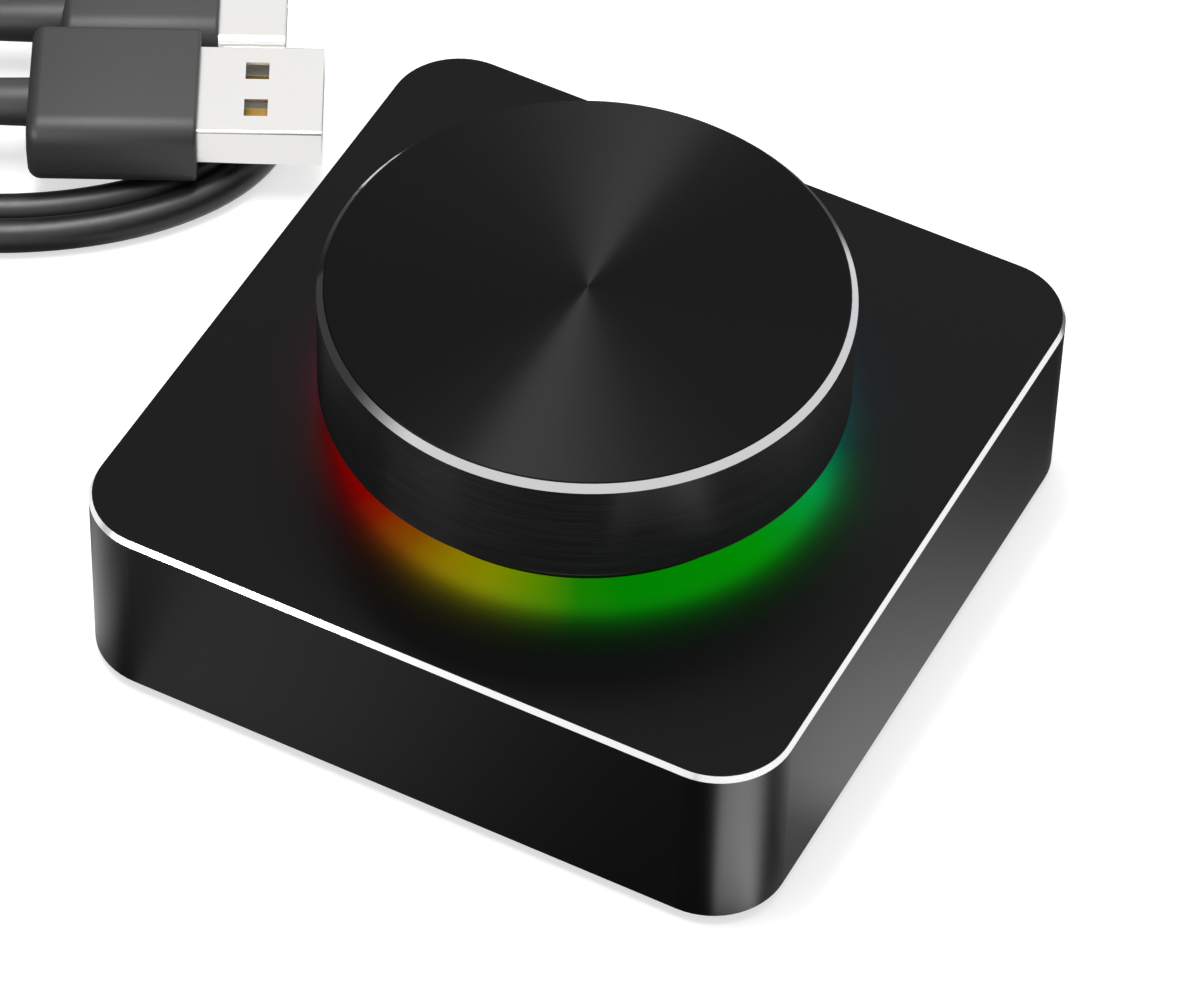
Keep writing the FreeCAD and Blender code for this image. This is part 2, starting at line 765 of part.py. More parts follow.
def dog_bone(turn):
    """Point of the curve that the middle of the strand bundle follows, with a waist at the tie."""
    waist = hank_half_waist / hank_fullness
    reach = math.hypot(hank_half_length * math.cos(turn), waist * math.sin(turn))
    return reach * math.cos(turn), hank_fullness * reach * math.sin(turn)


def bundle_point(angle, outward):
    """Point of that curve moved outwards along its normal. Angle in degrees, 90 at the tie."""
    turn = math.radians(angle)
    step = 1e-4
    x, y = dog_bone(turn)
    ahead = dog_bone(turn + step)
    behind = dog_bone(turn - step)
    dx = ahead[0] - behind[0]
    dy = ahead[1] - behind[1]
    length = math.hypot(dx, dy)
    return x + outward * dy / length, y - outward * dx / length


def band_prism(outward, z_low, z_high):
    """Upright prism inside the dog-bone curve, moved outwards by one value."""
    step = 360 / hank_sides
    points = [vec(*bundle_point(step * index, outward), z_low) for index in range(hank_sides)]
    return Part.Face(Part.makePolygon(points + points[:1])).extrude(vec(0, 0, z_high - z_low))


def cable_hank(ends):
    """Outer shape of the folded lead: three strands thick on the left, two flat ones on the right."""
    tall = bundle_height + tie_wire
    reach = 2 * hank_half_length
    low_band = band_prism(cable_diameter, 0, cable_diameter)
    tall_band = band_prism(cable_diameter, 0, tall)
    tall_band = tall_band.cut(block((reach, reach), (lead_start + reach / 2, 0), -1, tall + 1))
    band = low_band.fuse(tall_band)
    band = band.cut(band_prism(-cable_diameter, -1, tall + 1))
    band = in_hank(band.cut(tie_loop_channel()).removeSplitter())
    for end in ends:
        band = band.cut(end)
    return band


def round_path(points, share=0.45):
    """Straight runs joined by tangent arcs. Prints the smallest bend radius."""
    edges = []
    last = points[0]
    radii = []
    for before, corner, after in zip(points, points[1:], points[2:]):
        way_in = (corner - before).normalize()
        way_out = (after - corner).normalize()
        half_turn = way_in.getAngle(way_out) / 2
        shorter = min((corner - before).Length, (after - corner).Length)
        cut = share * shorter
        radii.append(cut / math.tan(half_turn))
        start = corner - way_in * cut
        end = corner + way_out * cut
        bisector = (way_out - way_in).normalize()
        rise = radii[-1] / math.cos(half_turn) - radii[-1]
        middle = corner + bisector * rise
        edges.append(Part.makeLine(last, start))
        edges.append(Part.Arc(start, middle, end).toShape())
        last = end
    edges.append(Part.makeLine(last, points[-1]))
    print("smallest bend radius", round(min(radii), 1), "mm")
    return Part.Wire(edges)


def tube_along(points, diameter):
    """Round tube along a path, checked against its section times its length."""
    path = round_path(points)
    direction = points[1] - points[0]
    circle = Part.Wire([Part.Circle(points[0], direction, diameter / 2).toShape()])
    tube = path.makePipeShell([circle], True, True)
    share = tube.Volume / (math.pi * diameter ** 2 / 4 * path.Length)
    print("tube length", round(path.Length, 1), "mm, volume share", round(share, 3))
    return in_hank(tube)


def lead_points(side_start, z_start, plug_side, plug_start, plug_height):
    """Short end of the lead: out of the bundle beside the tie, then straight into its plug."""
    start = vec(lead_start, side_start, z_start)
    straight = vec(plug_start - lead_run, plug_side, plug_height)
    middle = start + (straight - start) * 0.48
    middle.y += math.copysign(0.12, plug_side)
    return [start, middle, straight, vec(plug_start, plug_side, plug_height)]


def plug_along_x(shape, x, y, z):
    """Turn a shape drawn along +Z so that it points along +X, with its own X across."""
    shape = shape.copy()
    shape.rotate(vec(0, 0, 0), vec(0, 0, 1), 90)
    shape.rotate(vec(0, 0, 0), vec(0, 1, 0), 90)
    shape.translate(vec(x, y, z))
    return in_hank(shape)


def strain_relief(start, side_place, height):
    """Plain soft sleeve, a little thinner at its tip, whose rim is broken."""
    sleeve = Part.makeCone(relief_radius - relief_taper, relief_radius, relief_length)
    sleeve = sleeve.makeChamfer(relief_edge_break, edges_at(sleeve, 0))
    return plug_along_x(sleeve, start, side_place, height)


def plug_body(size, radius, start, side_place, height):
    """Moulded plug body with rounded long edges and softened ends."""
    length, width, thickness = size
    body = rounded_prism(width, thickness, radius, 0, length)
    body = body.makeChamfer(0.6, edges_at(body, 0))
    body = body.makeChamfer(0.3, edges_at(body, length))
    return plug_along_x(body, start, side_place, height)


def usb_c_plug_shell(start):
    """Seamless steel nose of the USB-C plug, hollow for the receptacle's tongue."""
    length, width, height = c_shell_size
    floor = 1.0
    outside = obround_prism(width, height, 0, length)
    outside = outside.makeChamfer(0.15, edges_at(outside, length))
    inside = obround_prism(width - 2 * shell_sheet, height - 2 * shell_sheet, floor, length + 1)
    return plug_along_x(outside.cut(inside), start, c_plug_side, c_plug_height)


def usb_a_plug_shell(start):
    """Folded steel shell of the USB-A plug, with two square holes above and below."""
    length, width, height = a_shell_size
    outside = rounded_prism(width, height, 0.35, 0, length)
    inside = rounded_prism(width - 2 * shell_sheet, height - 2 * shell_sheet, 0.1, -1, length + 1)
    shell = outside.cut(inside)
    hole_low = length - a_hole_setback
    hole_size = (a_hole_size, height + 2)
    for sx in (1, -1):
        shell = shell.cut(block(hole_size, (sx * a_hole_spacing / 2, 0), hole_low, hole_low + a_hole_size))
    return plug_along_x(shell, start, a_plug_side, a_plug_height)


def a_tongue_low():
    """Lower face of the USB-A contact carrier, from the middle of the plug."""
    return -a_shell_size[2] / 2 + shell_sheet + 0.02


def usb_a_tongue(start):
    """Plastic contact carrier in the lower half of the USB-A shell."""
    length, width, height = a_shell_size
    tongue_width = width - 2 * shell_sheet - 0.1
    middle = a_tongue_low() + a_tongue_thickness / 2
    tongue = block((tongue_width, a_tongue_thickness), (0, middle), 0, length - a_tongue_setback)
    return plug_along_x(tongue, start, a_plug_side, a_plug_height)


def usb_a_contacts(start):
    """Four gold contacts, the outer two longer."""
    size = (1.0, 0.12)
    front = a_shell_size[0] - 2.2
    y = a_tongue_low() + a_tongue_thickness + size[1] / 2
    made = []
    for x, reach in ((-3.5, 7.4), (-1.0, 6.4), (1.0, 6.4), (3.5, 7.4)):
        contact = block(size, (x, y), front - reach, front)
        made.append(plug_along_x(contact, start, a_plug_side, a_plug_height))
    return made


def tie_loop(outward, thickness):
    """One loop of the tie round the waist of the hank, standing across it at the origin."""
    width = 2 * (hank_half_waist + cable_diameter + outward)
    height = bundle_height + 2 * outward
    loop = rounded_prism(width, height, tie_corner + outward, -thickness / 2, thickness / 2)
    loop.rotate(vec(0, 0, 0), vec(0, 0, 1), 90)
    loop.rotate(vec(0, 0, 0), vec(0, 1, 0), 90)
    loop.translate(vec(0, 0, tie_wire + bundle_height / 2))
    return loop


def at_both_loops(shape):
    """The same shape at both loops of the tie."""
    return copies(shape, [(-tie_spacing / 2, 0), (tie_spacing / 2, 0)])


def tie_loop_channel():
    """Cutter for what the hank leaves free for the tie."""
    wire = tie_loop(tie_wire + tie_gap, tie_wire + 2 * tie_gap).cut(tie_loop(-tie_gap, 2 * tie_wire))
    return Part.makeCompound(at_both_loops(wire))


def wire_tie():
    """Two loops of coated wire drawn tight round the waist of the hank."""
    wire = tie_loop(tie_wire, tie_wire).cut(tie_loop(0, 2 * tie_wire))
    return [in_hank(loop) for loop in at_both_loops(wire)]


# ---------------------------------------------------------------- build
os.makedirs("parts", exist_ok=True)

export("case_shell", case_shell())
export("bottom_cover", bottom_cover())
export("rubber_feet", *rubber_feet())
export("ballast_plate", ballast_plate())
export("cover_screws", *cover_screws())
export("board_screws", *board_screws())
export("light_diffuser", light_diffuser())
export("main_board", main_board())
export("rgb_leds", *rgb_leds())
export("ceramic_capacitors", *ceramic_capacitors())
export("controller_chip", *controller_chip())
export("protection_chip", protection_chip())
export("chip_resistors", *chip_resistors())
export("bulk_capacitor", bulk_capacitor())
export("usb_c_receptacle_shell", usb_c_receptacle_shell())
export("usb_c_tongue", usb_c_tongue())
export("usb_c_contacts", *usb_c_contacts())
export("encoder_base", encoder_base())
export("encoder_housing", encoder_housing())
export("encoder_yoke", encoder_yoke())
export("encoder_terminals", *encoder_terminals())
export("encoder_washer", encoder_washer())
export("encoder_nut", encoder_nut())
export("encoder_rotor", encoder_rotor())
export("contact_wiper", contact_wiper())
export("detent_spring", detent_spring())
export("switch_dome", switch_dome())
export("encoder_shaft", encoder_shaft())
export("knob_cap", knob_cap())
export("knob_core", knob_core())
export("hub_clip", hub_clip())

c_body_start = c_plug_start + relief_length
a_body_start = a_plug_start + relief_length
c_nose = c_body_start + c_body_size[0]
a_nose = a_body_start + a_body_size[0]
top_slot = tie_wire + bundle_height - cable_diameter / 2
c_lead = lead_points(hank_half_waist, top_slot, c_plug_side, c_plug_start, c_plug_height)
a_lead = lead_points(-0.8 * hank_half_waist, top_slot, a_plug_side, a_plug_start, a_plug_height)
cable_end_c = tube_along(c_lead, cable_diameter)
cable_end_a = tube_along(a_lead, cable_diameter)
export("cable_hank", cable_hank([cable_end_c, cable_end_a]))
export("cable_end_c", cable_end_c)
export("cable_end_a", cable_end_a)
export("c_strain_relief", strain_relief(c_plug_start, c_plug_side, c_plug_height))
export("c_plug_body", plug_body(c_body_size, c_body_corner, c_body_start, c_plug_side, c_plug_height))
export("c_plug_shell", usb_c_plug_shell(c_nose))
export("a_strain_relief", strain_relief(a_plug_start, a_plug_side, a_plug_height))
export("a_plug_body", plug_body(a_body_size, a_body_corner, a_body_start, a_plug_side, a_plug_height))
export("a_plug_shell", usb_a_plug_shell(a_nose))
export("a_plug_tongue", usb_a_tongue(a_nose))
export("a_plug_contacts", *usb_a_contacts(a_nose))
export("wire_tie", *wire_tie())
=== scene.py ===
# %% [markdown]
# # A desk volume knob, finished in Blender
# The CAD model comes in as the frame: every metal, plastic and circuit part is already there, at
# its real size and place. These cells add what CAD leaves out: the finishes, the soft lead with its
# moulded plugs, the feet, the dome that flattens, the light and the camera. Sizes are in
# millimetres in the text and turned into metres where Blender needs them.

# %% Open the frame
import bpy
import bmesh
import math
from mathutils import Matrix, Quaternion, Vector


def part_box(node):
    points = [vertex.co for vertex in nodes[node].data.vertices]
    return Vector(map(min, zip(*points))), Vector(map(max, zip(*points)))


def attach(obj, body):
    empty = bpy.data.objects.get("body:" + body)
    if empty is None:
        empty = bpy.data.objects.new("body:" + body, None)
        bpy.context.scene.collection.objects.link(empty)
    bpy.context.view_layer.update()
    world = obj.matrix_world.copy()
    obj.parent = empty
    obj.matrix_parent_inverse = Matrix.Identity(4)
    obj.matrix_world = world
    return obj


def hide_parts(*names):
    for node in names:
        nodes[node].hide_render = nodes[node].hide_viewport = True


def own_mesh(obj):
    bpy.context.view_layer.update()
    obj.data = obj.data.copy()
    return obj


MM = 0.001
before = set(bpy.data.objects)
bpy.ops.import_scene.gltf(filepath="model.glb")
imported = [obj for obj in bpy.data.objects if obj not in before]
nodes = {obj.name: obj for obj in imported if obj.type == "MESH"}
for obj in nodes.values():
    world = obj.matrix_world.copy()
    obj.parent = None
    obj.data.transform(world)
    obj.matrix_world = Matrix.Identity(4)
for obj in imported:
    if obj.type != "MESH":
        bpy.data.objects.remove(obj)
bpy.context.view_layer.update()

# %% [markdown]
# ## Camera
# A picture of a small product is taken from far away with a long lens, so that the square base
# hardly narrows towards its back. The camera is aimed with `to_track_quat` and then rolled a little
# about its own axis, as one turns a tripod head. A quaternion keeps the two turns apart.

# %% Place the camera
CAMERA_PLACE = Vector((187.9, -381.3, 479.2)) * MM
CAMERA_AIM = Vector((6.85, -10.06, 20.5)) * MM
CAMERA_ROLL = math.radians(1.92)
LENS, SENSOR = 205.1, 36

camera_data = bpy.data.cameras.new("camera")
camera_data.lens = LENS
camera_data.sensor_width = SENSOR
camera = bpy.data.objects.new("camera", camera_data)
bpy.context.scene.collection.objects.link(camera)
bpy.context.scene.camera = camera
camera.location = CAMERA_PLACE
aimed = (CAMERA_AIM - CAMERA_PLACE).to_track_quat("-Z", "Y")
camera.rotation_mode = "QUATERNION"
camera.rotation_quaternion = aimed @ Quaternion((0, 0, 1), CAMERA_ROLL)
print("camera", round((CAMERA_PLACE - CAMERA_AIM).length / MM), "mm from what it looks at")

# %% [markdown]
# ## The lead
# The lead is a limp 3.4 mm USB cable, folded one and a half times into a dog-bone hank with a tie
# round its waist. Three strands lie side by side in the left lobe and two in the right one, where
# the two plugs rest on them. It could be three separate rings, but a real cable is one length: so
# its whole run, from plug to plug, is one NURBS curve. The strands of a bundle change places
# slowly, as in a rope, which is why each strand's place turns by 120 degrees on its way round the
# left lobe.

# %% The shape that the bundle follows
CABLE = 3.4
HANK_TURN = math.radians(27.4)
HANK_X, HANK_Y = -97.2, 11.8
HALF_LENGTH, HALF_WAIST, FULLNESS = 50.2, 10.1, 0.60


def in_hank(along, across, height):
    """A point given along and across the hank, as a place on the table in metres."""
    c, s = math.cos(HANK_TURN), math.sin(HANK_TURN)
    x, y = HANK_X + c * along - s * across, HANK_Y + s * along + c * across
    return Vector((x, y, height)) * MM


def dog_bone(turn):
    """A point of the closed line with two lobes and a waist, at an angle about its middle."""
    waist = HALF_WAIST / FULLNESS
    reach = math.hypot(HALF_LENGTH * math.cos(turn), waist * math.sin(turn))
    return Vector((reach * math.cos(turn), FULLNESS * reach * math.sin(turn)))


def beside_bone(degrees, outward):
    """A point beside the dog bone, moved outwards square to it."""
    turn = math.radians(degrees)
    way = dog_bone(turn + 1e-4) - dog_bone(turn - 1e-4)
    return dog_bone(turn) + outward * Vector((way.y, -way.x)).normalized()


print("lobe tip", round(dog_bone(0).x, 1), "mm from the tie,",
      "waist", round(2 * dog_bone(math.pi / 2).y, 1), "mm")

# %% [markdown]
# The tie's lower wire passes under the strands, so they are lifted by its thickness at the waist
# and come down to the table within 14 mm on either side, as a springy cable does. The run begins
# at the tip of the USB-C plug's sleeve and ends at that of the USB-A plug.

# %% The lead as one curve
TIE_ROOM, LIFT_REACH = 1.1, 14
GROOVE = CABLE / math.sqrt(3)       # from the middle of three touching strands to each of them
STEPS = 12                          # points to half a lap
TWIST = 120                         # degrees that the strands change places by in half a lap
C_EXIT, A_EXIT = (20.4, 8.3, 6.3), (17.9, -4.6, 7.5)
C_RUN = [C_EXIT, (15.8, 8.3, 6.3), (9.5, 9.3, 6.1)]
A_RUN = [(3.2, -8.08, 5.9), (8.0, -6.6, 6.7), (13.3, -4.6, 7.5), A_EXIT]


def lifted(along):
    return TIE_ROOM * max(0.0, 1 - (along / LIFT_REACH) ** 2) ** 2


route = list(C_RUN)
strand = 90.0
for lap in range(3):
    for step in range(STEPS + 1):
        share = step / STEPS
        turn = math.radians(strand - TWIST * share)
        along, across = beside_bone(90 + 180 * share, GROOVE * math.cos(turn))
        # The bundle's middle sinks and rises, so that its lowest strand stays on the table.
        bundle = CABLE / 2 + GROOVE * math.sin(math.radians(30 + TWIST * share))
        route.append((along, across, bundle + GROOVE * math.sin(turn) + lifted(along)))
    strand -= TWIST
    if lap < 2:
        for step in range(1, STEPS):
            along, across = beside_bone(270 + 180 * step / STEPS, CABLE / 2 * (1 - 2 * lap))
            route.append((along, across, CABLE / 2 + lifted(along)))
route += A_RUN

line = bpy.data.curves.new("usb_lead", "CURVE")
line.dimensions = "3D"
spline = line.splines.new("NURBS")
spline.points.add(len(route) - 1)
for point, (along, across, height) in zip(spline.points, route):
    point.co = (*in_hank(along, across, height), 1)
    point.radius = CABLE / 2 * MM       # Blender adds a point's radius to the curve's box
spline.order_u = 3
spline.use_endpoint_u = True
spline.resolution_u = 8
line.bevel_depth = 1.0                  # times the radius of each point
line.bevel_resolution = 6
line.use_fill_caps = True
lead = bpy.data.objects.new("usb_lead", line)
bpy.context.scene.collection.objects.link(lead)
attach(lead, "root")
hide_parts("cable_hank", "cable_end_c", "cable_end_a")
print("lead drawn with", len(route), "points")

# %% [markdown]
# ## Modelling helpers
# By hand one clicks faces and edges. In a script they are picked by where they are and which way
# they point.

# %% Select, name and copy pieces
def deselect():
    bpy.ops.object.select_all(action="DESELECT")


def select_only(piece):
    deselect()
    piece.select_set(True)
    bpy.context.view_layer.objects.active = piece


def named(name):
    """Name the new primitive and put its size and place into its mesh."""
    piece = bpy.context.active_object
    piece.name = piece.data.name = name
    bpy.ops.object.transform_apply(location=True, rotation=True, scale=True)
    return piece


def copied(piece, name):
    """A copy with a mesh of its own, left selected."""
    select_only(piece)
    bpy.ops.object.duplicate()
    copy = bpy.context.active_object
    copy.name = copy.data.name = name
    return copy


def lay_in_hank(piece):
    """Turn and move a piece drawn along the hank's own axis to where the hank lies."""
    select_only(piece)
    piece.rotation_euler = (0, 0, HANK_TURN)
    piece.location = in_hank(0, 0, 0)
    bpy.ops.object.transform_apply(location=True, rotation=True, scale=True)


deselect()
print("selected now:", len(bpy.context.selected_objects))

# %% [markdown]
# In edit mode a test decides which corners, edges or faces are picked: it is given the middle of
# each in millimetres, and the element itself, whose normal says which way a face points.

# %% Pick in edit mode
CLOSE = 0.01                            # mm within which two places count as the same


def edit(piece):
    select_only(piece)
    bpy.ops.object.mode_set(mode="EDIT")


def pick(piece, kind, wanted):
    """In edit mode, select the verts, edges or faces whose middle in mm passes a test."""
    mode = {"verts": "VERT", "edges": "EDGE", "faces": "FACE"}[kind]
    bpy.ops.mesh.select_mode(type=mode)
    mesh = bmesh.from_edit_mesh(piece.data)
    for element in (*mesh.verts, *mesh.edges, *mesh.faces):
        element.select = False
    count = 0
    for element in getattr(mesh, kind):
        corners = [element] if kind == "verts" else element.verts
        middle = sum((corner.co for corner in corners), Vector()) / len(corners) / MM
        if wanted(middle, element):
            element.select_set(True)
            count += 1
    mesh.select_flush_mode()
    bmesh.update_edit_mesh(piece.data)
    return count


def finish_edit(angle=35):
    """Leave edit mode and shade smooth, but keep edges sharper than the angle crisp."""
    bpy.ops.mesh.select_all(action="SELECT")
    bpy.ops.mesh.normals_make_consistent(inside=False)
    bpy.ops.object.mode_set(mode="OBJECT")
    bpy.ops.object.shade_smooth_by_angle(angle=math.radians(angle))


print("helpers ready")

# %% [markdown]
# ## Plug bodies
# A USB plug's body is moulded over its metal shell in a two-part steel mould: the long edges are
# rounded so that it is easy to hold, the cable end is rounder than the shell end, and where the two
# halves of the mould met a hair-thin parting line runs round the middle. A cube is stretched to the
# body's size, its edges bevelled in that order, then two bisects mark off the parting line, whose
# narrow band of faces is pushed out a little.

# %% Mould the plug bodies
PARTING_WIDTH, PARTING_RISE = 0.16, 0.05
SHELL_END_RADIUS = 0.3


def plug_body(name, low, high, edge_radius, back_radius):
    size = [(b - a) * MM for a, b in zip(low, high)]
    middle = [(a + b) / 2 * MM for a, b in zip(low, high)]
    level = middle[2]
    deselect()
    bpy.ops.mesh.primitive_cube_add(size=1, location=middle, scale=size)
    piece = named(name)
    edit(piece)
    pick(piece, "edges", lambda m, e: abs(m.x - (low[0] + high[0]) / 2) < CLOSE)
    bpy.ops.mesh.bevel(offset=edge_radius * MM, segments=8)
    pick(piece, "edges", lambda m, e: abs(m.x - low[0]) < CLOSE)
    bpy.ops.mesh.bevel(offset=back_radius * MM, segments=5)
    pick(piece, "edges", lambda m, e: abs(m.x - high[0]) < CLOSE)
    bpy.ops.mesh.bevel(offset=SHELL_END_RADIUS * MM, segments=3)
    for side in (-1, 1):
        bpy.ops.mesh.select_all(action="SELECT")
        cut = (0, 0, level + side * PARTING_WIDTH / 2 * MM)
        bpy.ops.mesh.bisect(plane_co=cut, plane_no=(0, 0, 1))
    band = pick(piece, "faces", lambda m, f: (
        abs(m.z - level / MM) < PARTING_WIDTH / 4 and f.normal.x < 0.9))
    bpy.ops.transform.shrink_fatten(value=PARTING_RISE * MM)
    finish_edit()
    lay_in_hank(piece)
    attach(piece, "root")
    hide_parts(name.replace("_moulded", ""))
    print(name, len(piece.data.polygons), "faces, parting line of", band)
    return piece


a_body = plug_body("a_plug_body_moulded", (26.9, -12.4, 3.5), (43.4, 3.2, 11.5), 2.2, 1.3)
c_body = plug_body("c_plug_body_moulded", (29.4, 3.8, 3.5), (44.9, 12.8, 9.1), 2.6, 1.1)

# %% [markdown]
# ## Strain reliefs
# A soft sleeve where the cable leaves the plug keeps it from kinking. On this kind it is a plain
# sleeve, about half as thick again as the cable, a touch thinner at its tip and rounded there. It
# could be a lathe profile, but a cylinder needs only its tip scaled and its rim bevelled.

# %% Mould the strain reliefs
RELIEF_RADIUS, RELIEF_LENGTH, INTO_BODY = 2.4, 9.0, 0.4
TIP_SHARE, TIP_RADIUS = 0.92, 0.4


def strain_relief(name, tip):
    x, y, z = tip
    length = RELIEF_LENGTH + INTO_BODY
    deselect()
    bpy.ops.mesh.primitive_cylinder_add(
        vertices=48, radius=RELIEF_RADIUS * MM, depth=length * MM,
        location=((x + length / 2) * MM, y * MM, z * MM), rotation=(0, math.pi / 2, 0))
    piece = named(name)
    edit(piece)
    pick(piece, "verts", lambda m, v: m.x < x + CLOSE)
    bpy.ops.transform.resize(value=(1, TIP_SHARE, TIP_SHARE))
    pick(piece, "edges", lambda m, e: m.x < x + CLOSE)
    bpy.ops.mesh.bevel(offset=TIP_RADIUS * MM, segments=4)
    finish_edit()
    lay_in_hank(piece)
    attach(piece, "root")
    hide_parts(name.replace("_moulded", ""))
    print(name, len(piece.data.polygons), "faces")
    return piece


a_relief = strain_relief("a_strain_relief_moulded", A_EXIT)
c_relief = strain_relief("c_strain_relief_moulded", C_EXIT)

# %% [markdown]
# ## Tie
# The hank is held by a coated wire wound twice round its waist, so each loop shows two thin wires
# side by side. A loop is a rectangle that stands across the hank: its corners are rounded by a
# vertex bevel, its face is deleted, and what is left is turned into a curve, which gets a round
# section and becomes a mesh again.

# %% Bend one wire of the tie
WIRE_RADIUS, WIRE_GAP, WIRE_BEND = 0.28, 0.05, 2.4
BUNDLE = CABLE * (1 + math.sqrt(3) / 2)
half_width = HALF_WAIST + CABLE + WIRE_RADIUS + WIRE_GAP
loop_low = TIE_ROOM - WIRE_RADIUS
loop_high = TIE_ROOM + BUNDLE + WIRE_RADIUS + WIRE_GAP

deselect()
bpy.ops.mesh.primitive_plane_add(
    size=1, location=(0, 0, (loop_low + loop_high) / 2 * MM), rotation=(0, math.pi / 2, 0))
wire = bpy.context.active_object
wire.scale = ((loop_high - loop_low) * MM, 2 * half_width * MM, 1)
wire = named("tie_wire_1")
edit(wire)
pick(wire, "verts", lambda m, v: True)
bpy.ops.mesh.bevel(offset=WIRE_BEND * MM, segments=8, affect="VERTICES")
bpy.ops.mesh.select_all(action="SELECT")
bpy.ops.mesh.delete(type="ONLY_FACE")
bpy.ops.object.mode_set(mode="OBJECT")
bpy.ops.object.convert(target="CURVE")
wire.data.bevel_depth = WIRE_RADIUS * MM
wire.data.bevel_resolution = 4
bpy.ops.object.convert(target="MESH")
bpy.ops.object.shade_smooth()
print("wire of", len(wire.data.polygons), "faces")

# %% [markdown]
# One wire is made and the others are copies, each leaning its own small way, because nobody winds a
# tie square.

# %% Wind the tie
TURNS = [(-2.45, -2.2), (-1.75, -1.4), (1.75, 1.5), (2.45, 2.6)]    # mm along, degrees of lean

tie_wires = [wire] + [copied(wire, f"tie_wire_{number}") for number in range(2, 5)]
for piece, (along, lean) in zip(tie_wires, TURNS):
    select_only(piece)
    piece.location = (along * MM, 0, 0)
    piece.rotation_euler = (0, 0, math.radians(lean))
    bpy.ops.object.transform_apply(location=True, rotation=True, scale=True)
    lay_in_hank(piece)
    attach(piece, "root")
    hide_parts("wire_tie")
print(len(tie_wires), "wires wound, each leaning by", [lean for along, lean in TURNS], "degrees")

# %% [markdown]
# A copy of the curve that has no thickness is turned into a mesh.

bare = line.copy()
bare.bevel_depth = 0
bare_object = bpy.data.objects.new("measured_line", bare)
thread = bpy.data.meshes.new_from_object(bare_object)
bpy.data.objects.remove(bare_object)

# %% [markdown]
# ## Rubber feet
# Four punched rubber discs keep the knob from sliding while it is turned. Their underside has a
# moulded ring groove that gives them an edge to grip with. The rim of a cylinder's lower face is
# rounded, the face is inset twice, and the band between the insets is pushed in. One foot is
# modelled and copied to the other three corners.

# %% Make the feet
FOOT_RADIUS, FOOT_HEIGHT, FOOT_OFFSET, FOOT_RIM = 5.0, 1.6, 22.5, 0.3
GROOVE_INSET, GROOVE_WIDTH, GROOVE_DEPTH = 0.9, 0.7, 0.3
groove_radius = FOOT_RADIUS - FOOT_RIM - GROOVE_INSET


def from_foot(middle):
    return (middle.xy - Vector((FOOT_OFFSET, FOOT_OFFSET))).length


deselect()
bpy.ops.mesh.primitive_cylinder_add(
    vertices=64, radius=FOOT_RADIUS * MM, depth=FOOT_HEIGHT * MM,
    location=(FOOT_OFFSET * MM, FOOT_OFFSET * MM, FOOT_HEIGHT / 2 * MM))
foot = named("rubber_foot_1")
edit(foot)
pick(foot, "faces", lambda m, f: f.normal.z < -0.9)
bpy.ops.mesh.bevel(offset=FOOT_RIM * MM, segments=3, affect="EDGES")
pick(foot, "faces", lambda m, f: f.normal.z < -0.99)
bpy.ops.mesh.inset(thickness=GROOVE_INSET * MM)
pick(foot, "faces", lambda m, f: f.normal.z < -0.99 and from_foot(m) < 1)
bpy.ops.mesh.inset(thickness=GROOVE_WIDTH * MM)
pick(foot, "faces", lambda m, f: (
    f.normal.z < -0.99 and groove_radius - GROOVE_WIDTH < from_foot(m) < groove_radius))
bpy.ops.mesh.extrude_region_move(TRANSFORM_OT_translate={"value": (0, 0, GROOVE_DEPTH * MM)})
finish_edit()
feet = [foot]
for number, (x, y) in enumerate([(-1, 1), (-1, -1), (1, -1)], start=2):
    copy = copied(foot, f"rubber_foot_{number}")
    copy.location = ((x - 1) * FOOT_OFFSET * MM, (y - 1) * FOOT_OFFSET * MM, 0)
    bpy.ops.object.transform_apply(location=True)
    feet.append(copy)
for piece in feet:
    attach(piece, "root")
    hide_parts("rubber_feet")
print(len(feet), "feet of", len(foot.data.polygons), "faces")

# %% [markdown]
# ## Snap dome
# Under the shaft's foot lies a dome of spring steel that clicks flat when the knob is pressed. It
# is the one part that changes its shape in use, and a CAD part stays rigid. It is made again here:
# a sphere gets its thickness from Solidify, bisect cuts the cap off it, and a bridge closes the
# cut rim.

# %% Make the snap dome
DOME_RADIUS, DOME_RISE, DOME_SHEET = 2.4, 0.8, 0.12
dome_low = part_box("switch_dome")[0][2]
ball_radius = (DOME_RADIUS ** 2 + DOME_RISE ** 2) / (2 * DOME_RISE) * MM

deselect()
bpy.ops.mesh.primitive_uv_sphere_add(
    segments=48, ring_count=64, radius=ball_radius,
    location=(0, 0, dome_low + DOME_RISE * MM - ball_radius))
dome = named("snap_dome")
steel = dome.modifiers.new("steel", "SOLIDIFY")
steel.thickness = DOME_SHEET * MM
bpy.ops.object.modifier_apply(modifier=steel.name)
edit(dome)
bpy.ops.mesh.select_mode(type="EDGE")
bpy.ops.mesh.select_all(action="SELECT")
bpy.ops.mesh.bisect(
    plane_co=(0, 0, dome_low), plane_no=(0, 0, 1), clear_inner=True, threshold=1e-7)
bpy.ops.mesh.bridge_edge_loops()
finish_edit()
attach(dome, "root")
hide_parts("switch_dome")
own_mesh(dome)
print("dome of", len(dome.data.polygons), "faces, rim at", round(dome_low / MM, 2), "mm")

# %% [markdown]
# ## Helpers for the finishes
# Every finish is a small network of nodes. Colours are written as the sRGB hex values that a maker
# would note down, and Blender's sockets want linear light, so one function turns them. One more
# function adds a node, whatever its kind: its settings are the node's properties or unlinked
# inputs, and its links say what feeds which input, where a node stands for its first output.

